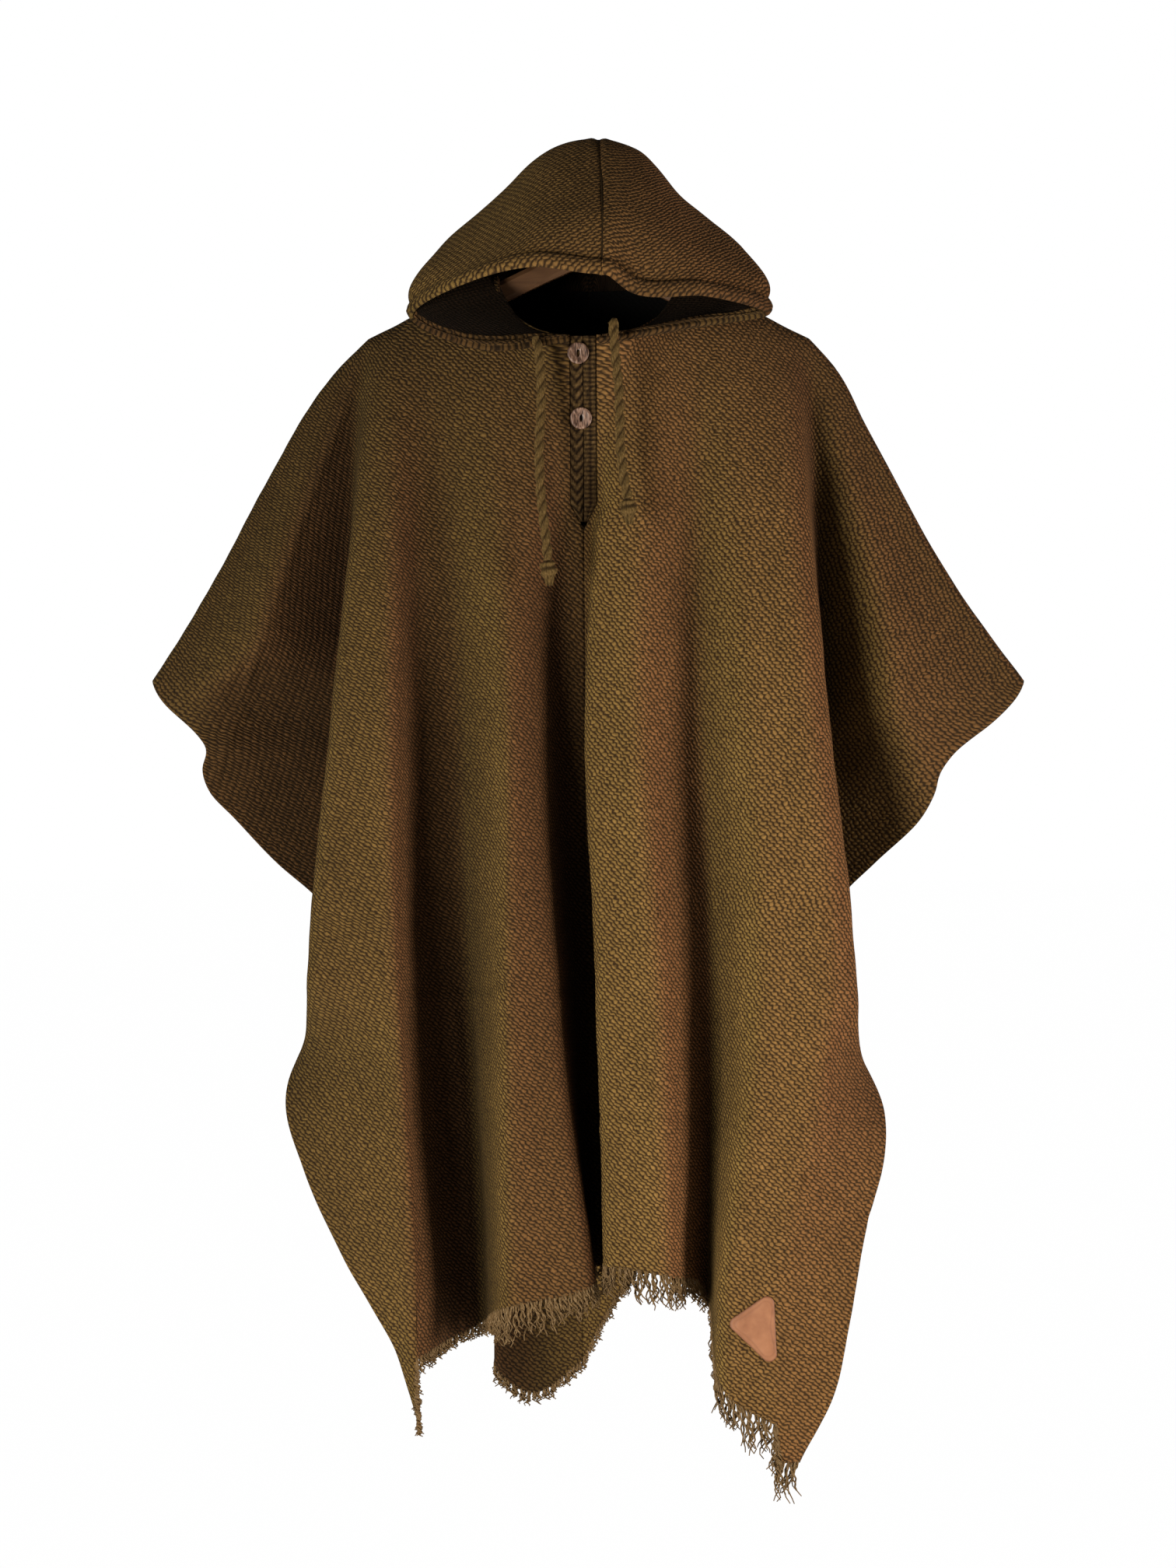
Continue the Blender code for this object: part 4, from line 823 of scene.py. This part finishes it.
def lock_paths(hem, above, normals, lengths, rng, plies=3, steps=9):
    """Paths of the yarns: root + down s L(1 - g s) + gravity g s^2 L, with a seeded kink, the
    plies of a lock a third of a turn apart and loosening towards the tip."""
    run = run_along(hem)
    count = int(run[-1] / LOCK_PITCH)
    at = (np.arange(count) + 0.5 + rng.uniform(-0.25, 0.25, count)) * LOCK_PITCH

    def read(values):
        return np.stack([np.interp(at, run, values[:, k]) for k in range(values.shape[1])], axis=1)

    root, out, down = read(hem), read(normals), unit(read(hem - above))
    side = np.cross(down, out)
    length = np.interp(at, run, lengths) * rng.uniform(0.62, 1.15, count)
    s = np.linspace(0, 1, steps)[None, None, :, None]
    length = (length[:, None] * rng.uniform(0.8, 1.05, (count, plies)))[:, :, None, None]
    kink = rng.normal(0, 1, (count, 1, 1, 1)) + 0.5 * rng.normal(0, 1, (count, plies, 1, 1))
    lean = rng.normal(0, 1, (count, 1, 1, 1)) + 0.6 * rng.normal(0, 1, (count, plies, 1, 1))
    turn = 2 * math.pi * (np.arange(plies)[None, :, None, None] / plies + 1.6 * s) + kink
    down, side, out = (way[:, None, None, :] for way in (down, side, out))
    fall = np.array([0, 0, -1.0])
    start = root[:, None, None, :] - down * 0.002
    path = start + down * length * s * (1 - 0.55 * s) + fall * length * 0.55 * s ** 2 + down * 0.002 * (s > 0)
    path = path + side * length * (0.12 * kink * s ** 1.5 + 0.05 * np.sin(7 * s + 3 * lean))
    path = path + out * length * 0.09 * lean * s ** 1.5
    loosen = LOCK_RADIUS * 0.75 * (0.7 + 1.5 * s)
    path = path + (side * np.cos(turn) + out * np.sin(turn)) * loosen
    radius = LOCK_RADIUS * 0.62 * (1 - 0.55 * s[..., 0] ** 2) * np.ones(path.shape[:-1])
    return path.reshape(-1, steps, 3), radius.reshape(-1, steps), (length * s)[..., 0].reshape(-1, steps)


fringe_pieces = {"left": [], "right": []}
for number, (face, side) in enumerate((f, s) for f in ("front", "back") for s in ("left", "right")):
    path, radius, run = lock_paths(*hems[face, side], np.random.default_rng(FIRST_SEED + number))
    rings = rings_round(path, radius, LOCK_SIDES)
    around = np.broadcast_to(np.linspace(0, YARN_ROUND, LOCK_SIDES), rings.shape[:3])
    run = np.broadcast_to(run[..., None] + np.arange(len(path))[:, None, None] * LOCK_SHIFT, rings.shape[:3])
    yarn = tube_mesh("yarn_%s_%s" % (face, side), rings, np.stack([around, run], axis=-1))
    dress(yarn, "fringe_%s_%s" % (face, side), fringe_wool)
    fringe_pieces[side].append(yarn)

# ---- Neck bands ----
# Two narrow bands fill the neck slit: a braided one at the left and a ribbed one at the right.
# They run together in a small bulb where the slit closes.

BAND_THICK, BANDS_END = 0.0046, -0.386


def band_surface(side, steps=150, around=20):
    """Oval bar: P = centre(z) + (w cos t, -d sin t), with the braid or the ribs as relief."""
    heights = np.linspace(CHIN_HEIGHT - 0.001, BANDS_END, steps)
    left, depth = centre_line("front", "left", heights)
    right, _ = centre_line("front", "right", heights)
    middle = (left + right) / 2
    low, high = (left, middle) if side == "left" else (middle, right)
    half = (high - low) / 2 - SEAM_GAP
    run = CHIN_HEIGHT - heights
    t = np.linspace(0, 2 * math.pi, around, endpoint=False)[None, :]
    s = run[:, None]
    # groove is painted shade: darker in the troughs of the braid and of the ribs and along the ribbed band's
    # middle
    if side == "left":
        wave = np.cos(2 * math.pi * s / 0.0105 + 1.6 * math.pi * np.abs(np.cos(t)))
        relief = 0.0009 * wave * np.abs(np.sin(t))
        groove = np.clip(0.45 - 0.75 * wave, 0, 1) + 0 * s
    else:
        wave = np.cos(2 * math.pi * s / 0.0046)
        relief = 0.0005 * wave * np.abs(np.sin(t)) - 0.0006 * np.exp(-(np.cos(t) / 0.25) ** 2)
        groove = np.clip(0.35 - 0.5 * wave + 0.8 * np.exp(-(np.cos(t) / 0.2) ** 2), 0, 1)
    swell = 1 + 0.25 * np.exp(-((heights[:, None] + 0.362) / 0.012) ** 2)
    centres = np.stack([(low + high) / 2, depth - 0.0004, heights], axis=1)
    wide = half[:, None] * np.sign(np.cos(t)) * np.abs(np.cos(t)) ** 0.8
    deep = (BAND_THICK / 2 * swell + relief) * np.sin(t)
    points = centres[:, None, :] + np.stack([wide, -deep, 0 * wide], axis=-1)
    uv = np.stack([np.broadcast_to(t * 0.003, wide.shape), np.broadcast_to(s, wide.shape)], axis=-1)
    return true_place(points)[None], uv[None], groove[None]


band_wool = yarn_wool("band_wool", [(0.3, (0.020, 0.011, 0.004)), (0.55, (0.090, 0.052, 0.018)),
                                    (0.8, (0.17, 0.10, 0.04))], 600.0)
for side in ("left", "right"):
    dress(tube_mesh("band_" + side, *band_surface(side)), "placket_" + side, band_wool)

# ---- Buttons ----
# Two flat discs of pinkish brown palm wood, each with one upright slot that its yarn goes through.

BUTTON_ACROSS, BUTTON_THICK = 0.0216, 0.0032
BUTTON_PLACES = (("button_upper", -11, -213), ("button_lower", -8, -280))
BAND_FRONT, DISC_LIFT = 0.00225, 0.0009
palm_wood, _ = grained("palm_wood", 0.42, [(0.36, (0.025, 0.010, 0.005)), (0.48, (0.13, 0.066, 0.040)),
                                           (0.60, (0.26, 0.155, 0.105)), (0.76, (0.42, 0.29, 0.22))],
                       {"Scale": 1.6, "Detail": 6.0, "Distortion": 1.4}, (260, 90, 60), (0, 0.35, 0),
                       (0.5, 0.0005))


def button_disc(name, across, height, sides=64):
    """Profile (r, h) turned about the disc's axis: rounded rim, shallow dish, oval slot."""
    levels = np.array([height / 1000 + BUTTON_ACROSS / 2, height / 1000 - BUTTON_ACROSS / 2])
    _, depth = centre_line("front", "left", levels)
    lean = (depth[0] - depth[1]) / BUTTON_ACROSS
    centre = true_place([across / 1000, depth.mean() - BAND_FRONT, height / 1000])
    profile = np.array([(0.30, 0), (0.90, 0), (0.97, 0.12), (1.0, 0.4), (1.0, 0.65), (0.97, 0.88), (0.9, 1.0),
                        (0.78, 0.97), (0.66, 0.86), (0.45, 0.82), (0.30, 0.82), (0.27, 0.74)])
    turn = np.linspace(0, 2 * math.pi, sides, endpoint=False)
    round_x, round_z = np.cos(turn), np.sin(turn)
    slot_x, slot_z = 0.0014 * np.cos(turn), 0.0038 * np.sin(turn)
    radius = profile[:, :1] * BUTTON_ACROSS / 2
    share = np.clip((profile[:, :1] - 0.27) / 0.25, 0, 1)
    x = round_x * radius * share + slot_x * (1 - share)
    z = round_z * radius * share + slot_z * (1 - share)
    y = centre[1] - DISC_LIFT - BUTTON_THICK * profile[:, 1:] + lean * z
    rings = np.stack([centre[0] + x, np.broadcast_to(y, x.shape), centre[2] + z], axis=-1)
    rows = len(profile)
    spot = np.arange(rows * sides).reshape(rows, sides)
    after, below = np.roll(spot, -1, axis=1), np.roll(spot, -1, axis=0)
    quads = np.stack([spot, after, np.roll(below, -1, axis=1), below], axis=-1).reshape(-1, 4)
    return new_piece(name, rings.reshape(-1, 3), quads.tolist())


for name, across, height in BUTTON_PLACES:
    dress(button_disc("disc_" + name, across, height), name, palm_wood)

# ---- Hood ----
# Two halves sewn along the crown, gathered at the neckline, with the face edge turned back into
# a round casing for the drawstring and a line of stitches behind it.

HOOD_CLOTH, HOOD_LAP = 0.0024, 0.0035
HOOD_ROWS, HOOD_STEPS = 110, 110
CASING_WIDE, CASING_HIGH, CROWN_SINK = 0.0145, 0.0078, 0.0014
NAPE_TURN = 145
STITCH_DEPTH, SEAM_DEPTH, SEAM_RIDGE = 0.0014, 0.0016, 0.0007

# Arches from the face edge to the nape: five places from the crown seam down as width, depth and
# height, and the turn of the neckline where the arch ends
BACK_ARCH = ("back", 2, 72, -44, 40, 70, -54, 86, 60, -80, 118, 40, -108, 100, 37, -124, 118)
ARCHES = {
    "left": (
        ("face", 13, -128, -131, 62, -124, -124, 122, -108, -139, 181, -60, -176, 110, -84, -206, 0),
        ("brow", 14, -96, -62, 48, -92, -72, 104, -78, -100, 182, -50, -150, 126, -55, -168, 40),
        ("crown", 10, -2, 7, 35, -2, -2, 94, -2, -53, 150, -4, -117, 124, 0, -124, 85),
        BACK_ARCH,
    ),
    "right": (
        ("face", 13, -128, -131, 44, -124, -150, 122, -105, -154, 183, -58, -172, 106, -86, -182, 0),
        ("brow", 14, -96, -62, 52, -92, -70, 106, -78, -98, 183, -48, -146, 126, -55, -164, 40),
        ("crown", 10, -2, 7, 48, -2, -4, 95, -2, -53, 158, -4, -117, 126, 0, -124, 85),
        BACK_ARCH,
    ),
}


def neck_point(turn, side):
    """Neckline at a turn from the chin (0) over the shoulder (90) to the nape (180 degrees)."""
    sign = 1 if side == "right" else -1
    angle = math.radians(turn)
    start = centre_line("front", side, np.array([CHEST]))[0][0] if turn < 90 else sign * SEAM_GAP / 2
    low_depth, low_height = (CHIN_DEPTH, CHIN_HEIGHT) if turn < 90 else (NAPE_DEPTH, NAPE_HEIGHT)
    return np.array([start + (sign * NECK_ACROSS - start) * math.sin(angle),
                     low_depth * abs(math.cos(angle)) - HOOD_LAP * math.cos(angle),
                     NECK_HEIGHT + (low_height - NECK_HEIGHT) * abs(math.cos(angle))
                     + HOOD_LAP * (0.15 * math.sin(angle) - abs(math.cos(angle)))])


def hood_surface(side):
    """P(s, t): arch s smooth through the table's arches, point t smooth along it from the crown
    seam to the neckline, with rows close together at the face edge for the casing."""
    sign = 1 if side == "right" else -1
    arches = []
    for row in ARCHES[side]:
        spots = np.array(row[1:16], float).reshape(5, 3) / 1000
        spots[1:, 0] *= sign
        spots[0, 0] += sign * SEAM_GAP / 2
        ghost = spots[1] * (-1, 1, 1) + (2 * spots[0, 0], 0, 0)
        chain = np.vstack([ghost, spots, neck_point(row[16], side)])
        run = run_along(chain)
        arches.append(smooth_through(run[1] + np.linspace(0, 1, HOOD_STEPS) * (run[-1] - run[1]), run, chain))
    arches.append([neck_point(turn, side) for turn in np.linspace(180, NAPE_TURN, HOOD_STEPS)])
    arches = np.array(arches)
    at = np.linspace(0, 1, HOOD_ROWS) ** 1.5
    grid = smooth_through(at, np.linspace(0, 1, len(arches)), arches.reshape(len(arches), -1))
    return true_place(grid.reshape(HOOD_ROWS, HOOD_STEPS, 3))


# Painted shade: the hood's outer wool is a darker copy of the widths' wool, at 0.70
hood_wool_painted_shade = wool("hood_wool_painted_shade", 0.70, GAP_BROWN, OLIVE, RUST)
# Painted shade: a near-black copy of the wool for the hood's inner skin
hood_inside_painted_shade = wool("hood_inside_painted_shade", 0.4, (0.006, 0.003, 0.001), (0.045, 0.022, 0.008), (0.060, 0.026, 0.009))
crown = []
for side in ("left", "right"):
    grid = hood_surface(side)
    crown.append(grid[:, 0])
    sign = 1 if side == "right" else -1
    out = unit(np.cross(np.gradient(grid, axis=0), np.gradient(grid, axis=1)))
    out *= np.sign(out[HOOD_ROWS // 2, 4, 2])
    run = np.pad(np.cumsum(np.linalg.norm(np.diff(grid, axis=0), axis=2), axis=0), ((1, 0), (0, 0)))
    across = np.pad(np.cumsum(np.linalg.norm(np.diff(grid, axis=1), axis=2), axis=1), ((0, 0), (1, 0)))
    casing = np.sqrt(np.clip(1 - ((run - CASING_WIDE / 2) / (CASING_WIDE / 2)) ** 2, 0, 1))
    stitch = np.exp(-((run - CASING_WIDE - 0.0015) / 0.0018) ** 2)
    seam = np.exp(-(across / 0.0035) ** 2)
    ridge = np.exp(-((across - 0.007) / 0.004) ** 2)
    wave = (0.0008 * np.sin(38 * across + 9 * run) * np.sin(47 * run)
            + 0.0004 * np.sin(90 * across) * np.sin(70 * run + 1)) * np.clip(run / 0.03, 0, 1)
    lift = 0.3 * CASING_HIGH * casing - STITCH_DEPTH * stitch - SEAM_DEPTH * seam + SEAM_RIDGE * ridge + wave
    grid = grid + out * lift[..., None]
    thick = HOOD_CLOTH + CASING_HIGH * casing
    # Painted shade: both skins of the hood darken below a height of -0.155 m, towards the neckline
    low_rim_painted_shade = 0.75 * np.clip((-0.155 - grid[..., 2]) / 0.03, 0, 1).ravel()
    quads = grid_quads(HOOD_ROWS, HOOD_STEPS)
    if side == "left":
        quads = quads[:, ::-1]
    # The hood's sideways facing steers the same painted light tint
    hood, _ = closed_sheet("hood_cloth_" + side, grid.reshape(-1, 3), quads, thick.ravel(),
                           np.stack([sign * across, -run], axis=-1).reshape(-1, 2), out[..., 0].ravel(),
                           (low_rim_painted_shade, low_rim_painted_shade), np.arange(HOOD_ROWS) * HOOD_STEPS)
    dress(hood, "hood_" + side, hood_inside_painted_shade, hood_wool_painted_shade)
    # The inner skin takes the painted-shade wool except at the casing; the casing, the outer skin and the rim
    # take the hood's wool
    skin = 2 * len(quads)
    sides = np.ones(len(hood.data.polygons), np.int32)
    sides[:skin] = np.tile((run[:-1, :-1] < CASING_WIDE + 0.002).ravel(), 2)
    hood.data.polygons.foreach_set("material_index", sides)
path = (crown[0] + crown[1]) / 2 - np.array([0, 0, CROWN_SINK])
seam_tube("seam_hood", path, np.linspace(0, 0.3, len(path)), "hood_left")

# ---- Drawstring ----
# One cord of two twisted plies runs in the casing. Its ends come out of eyelets beside the
# chin, hang down the chest and are knotted, the right one higher than the left.

ROPE_ACROSS, ROPE_PITCH = 0.010, 0.030

# Middle line of each end from its eyelet to its knot, in metres and in its place
ROUTES = {
    "left": ((-0.0532, -0.0847, -0.2111), (-0.0517, -0.0880, -0.2159), (-0.0504, -0.0909, -0.2210),
             (-0.0495, -0.0929, -0.2265), (-0.0490, -0.0943, -0.2324), (-0.0486, -0.0954, -0.2384),
             (-0.0475, -0.0974, -0.2602), (-0.0475, -0.0987, -0.2821), (-0.0487, -0.1013, -0.3039),
             (-0.0493, -0.1038, -0.3257), (-0.0488, -0.1058, -0.3476), (-0.0475, -0.1077, -0.3694),
             (-0.0452, -0.1099, -0.3911), (-0.0425, -0.1119, -0.4128), (-0.0404, -0.1130, -0.4347)),
    "right": ((0.0257, -0.0832, -0.2004), (0.0249, -0.0887, -0.1973), (0.0243, -0.0934, -0.1958),
              (0.0242, -0.0963, -0.1979), (0.0245, -0.0977, -0.2030), (0.0250, -0.0981, -0.2100),
              (0.0273, -0.0983, -0.2381), (0.0297, -0.1006, -0.2606), (0.0305, -0.1034, -0.2832),
              (0.0310, -0.1063, -0.3057), (0.0315, -0.1087, -0.3284), (0.0344, -0.1109, -0.3508),
              (0.0385, -0.1130, -0.3731)),
}
rope_wool = yarn_wool("rope_wool", [(0.3, (0.035, 0.020, 0.007)), (0.55, (0.115, 0.070, 0.022)),
                                    (0.8, (0.22, 0.14, 0.055))], 800.0, (1, 0.35, 1))


def rope_rings(path, sides=28):
    """Two plies in one skin: r = R(0.58 + 0.42 |cos(t - w s)|^0.9), turning once per pitch, with
    fine fibres wound the other way."""
    run = run_along(path)
    along = unit(np.gradient(path, axis=0))
    first = unit(np.cross(along, [1.0, 0.0, 0.0]))
    second = np.cross(along, first)
    turn = np.linspace(0, 2 * math.pi, sides, endpoint=False)[None, :]
    phase = turn - 2 * math.pi * run[:, None] / ROPE_PITCH
    radius = ROPE_ACROSS / 2 * (0.58 + 0.42 * np.abs(np.cos(phase)) ** 0.9)
    radius = radius + 0.00022 * np.cos(phase * 8 + 2 * math.pi * run[:, None] / 0.006)
    rings = (path[:, None] + first[:, None] * (radius * np.cos(turn))[..., None]
             + second[:, None] * (radius * np.sin(turn))[..., None])
    uv = np.stack(np.broadcast_arrays(turn * 0.004, run[:, None]), axis=-1)
    # The last array is painted shade, darkest where the two plies meet
    return rings[None], uv[None], (0.9 * (1 - np.abs(np.cos(phase))) ** 2.2)[None]


def knot_rings(top, across, tall, steps=44, sides=40):
    """Overhand knot as one turned form: r = R p(s)(1 + wraps + frays), with two or three slanting
    wraps and a short frayed tail below them."""
    s = np.linspace(0, 1, steps)[:, None]
    turn = np.linspace(0, 2 * math.pi, sides, endpoint=False)[None, :]
    profile = np.interp(s, [0, 0.08, 0.3, 0.55, 0.7, 0.8, 1.0], [0.45, 0.8, 1.0, 0.86, 0.55, 0.5, 0.34])
    wraps = 0.20 * np.cos(2 * math.pi * 2.6 * s + turn) * np.clip(1.6 - 2 * s, 0, 1)
    frayed = 0.24 * np.cos(6 * turn + 3 * s) * np.clip(s * 3 - 1.9, 0, 1)
    radius = across / 2 * np.clip(profile * (1 + wraps + frayed), 0.05, 1)
    points = np.stack([top[0] + radius * np.cos(turn) + 0.0015 * s, top[1] + 0.85 * radius * np.sin(turn),
                       top[2] - tall * s + 0 * turn], axis=-1)
    uv = np.stack(np.broadcast_arrays(turn * 0.006, s * tall), axis=-1)
    # The last array is painted shade where the wraps and frays sink in
    return points[None], uv[None], np.clip(-4 * (wraps + frayed), 0, 0.9)[None]


for side in ("left", "right"):
    route = np.array(ROUTES[side])
    run = run_along(route)
    path = smooth_through(np.linspace(0, run[-1], 200), run, route)
    rope = tube_mesh("rope_" + side, *rope_rings(path))
    dress(rope, "drawstring_" + side, rope_wool)
    low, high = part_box("knot_" + side)
    top = np.array([(low[0] + high[0]) / 2, (low[1] + high[1]) / 2, high[2]])
    knot = tube_mesh("rope_knot_" + side, *knot_rings(top, high[0] - low[0], high[2] - low[2]))
    dress(knot, "knot_" + side, rope_wool)
    length = float(run_along(path)[-1])
    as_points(path)

# ---- Leather patch ----
# A rounded triangle of tan leather sewn to the right front near its lower corner, with a line
# of stitches inside its border.

PATCH_CORNERS = np.array([(190, -1176), (141, -1210), (194, -1261)]) / 1000
PATCH_RADIUS, PATCH_THICK, PATCH_LIFT = 0.0075, 0.0016, 0.0016
PATCH_SIDES, PATCH_RINGS, STITCH_INSET = 120, 26, 0.0052


def rounded_outline(corners, radius, count):
    """Outline of a triangle whose corners are arcs of one radius, evenly spaced points."""
    outline = []
    for k in range(3):
        ways = unit(corners[[k - 1, (k + 1) % 3]] - corners[k])
        half = math.acos(ways[0] @ ways[1]) / 2
        centre = corners[k] + unit(ways[0] + ways[1]) * radius / math.sin(half)
        start, end = (corners[k] + way * radius / math.tan(half) - centre for way in ways)
        t = np.linspace(0, 1, 9)[:, None]
        ray = start * (1 - t) + end * t
        outline.append(centre + unit(ray) * radius)
    outline = np.concatenate(outline + [outline[0][:1]])
    run = run_along(outline)
    even = np.linspace(0, run[-1], count, endpoint=False)
    return np.stack([np.interp(even, run, outline[:, k]) for k in (0, 1)], axis=1)


def on_cloth(spots, grid):
    """Depth of the cloth at seen places: the mean of its points weighted by exp(-(gap/4 mm)^2)."""
    across, height = seen_place(grid)
    near = (np.abs(across - spots[..., 0].mean()) < 0.06) & (np.abs(height - spots[..., 1].mean()) < 0.07)
    x, z, y = across[near], height[near], grid[..., 1][near]
    gap = (spots[..., 0, None] - x) ** 2 + (spots[..., 1, None] - z) ** 2
    weights = np.exp(-gap / 0.004 ** 2)
    return (weights * y).sum(-1) / weights.sum(-1)


leather, leather_shader = new_material("leather", 0.62)
add, join = nodes_of(leather.node_tree)
place = add("ShaderNodeTexCoord")
pores = add("ShaderNodeTexVoronoi", Scale=900.0)
mottle = add("ShaderNodeTexNoise", Scale=70.0, Detail=5.0)
edge = add("ShaderNodeAttribute", attribute_name="flank")
tan = colour_ramp(add, [(0.3, (0.27, 0.105, 0.045)), (0.6, (0.37, 0.155, 0.070)), (0.8, (0.43, 0.195, 0.092))])
burnt = add("ShaderNodeMix", data_type="RGBA")
burnt.inputs[7].default_value = (0.19, 0.07, 0.03, 1)
relief = add("ShaderNodeBump", Strength=0.35, Distance=0.0003)
join(place.outputs["Object"], pores.inputs["Vector"])
join(place.outputs["Object"], mottle.inputs["Vector"])
join(mottle.outputs["Fac"], tan.inputs["Fac"])
join(tan.outputs["Color"], burnt.inputs[6])
join(edge.outputs["Fac"], burnt.inputs[0])
join(burnt.outputs[2], leather_shader.inputs["Base Color"])
join(pores.outputs["Distance"], relief.inputs["Height"])
join(relief.outputs["Normal"], leather_shader.inputs["Normal"])

outline = rounded_outline(PATCH_CORNERS, PATCH_RADIUS, PATCH_SIDES)
inward = outline.mean(axis=0) - outline
reach = np.linspace(0, 0.97, PATCH_RINGS)[:, None, None]
spots = outline + inward * reach
depth = on_cloth(spots, fronts["right"][1])
middle = true_place(np.stack([spots[..., 0], depth, spots[..., 1]], axis=-1))
normals = unit(np.cross(np.roll(middle, -1, axis=1) - np.roll(middle, 1, axis=1), np.gradient(middle, axis=0)))
normals *= np.sign(-normals[..., 1:2])
inset = np.linalg.norm(spots - outline, axis=-1) * 0.62
groove = np.exp(-((inset - STITCH_INSET * 0.62) / 0.0007) ** 2)
rolled = 0.0009 * np.exp(-inset / 0.0006)
top = middle + normals * (PATCH_LIFT + PATCH_THICK - rolled - 0.0004 * groove)[..., None]
low = middle + normals * PATCH_LIFT
rows = np.concatenate([low[::-1], top])
shade = np.concatenate([np.ones(low.shape[:2]), np.clip(np.exp(-inset / 0.0010) + 0.35 * groove, 0, 1)])
patch = new_piece("leather_patch", rows.reshape(-1, 3), tube_faces(1, *rows.shape[:2]), flank=shade.ravel())
dress(patch, "patch", leather)
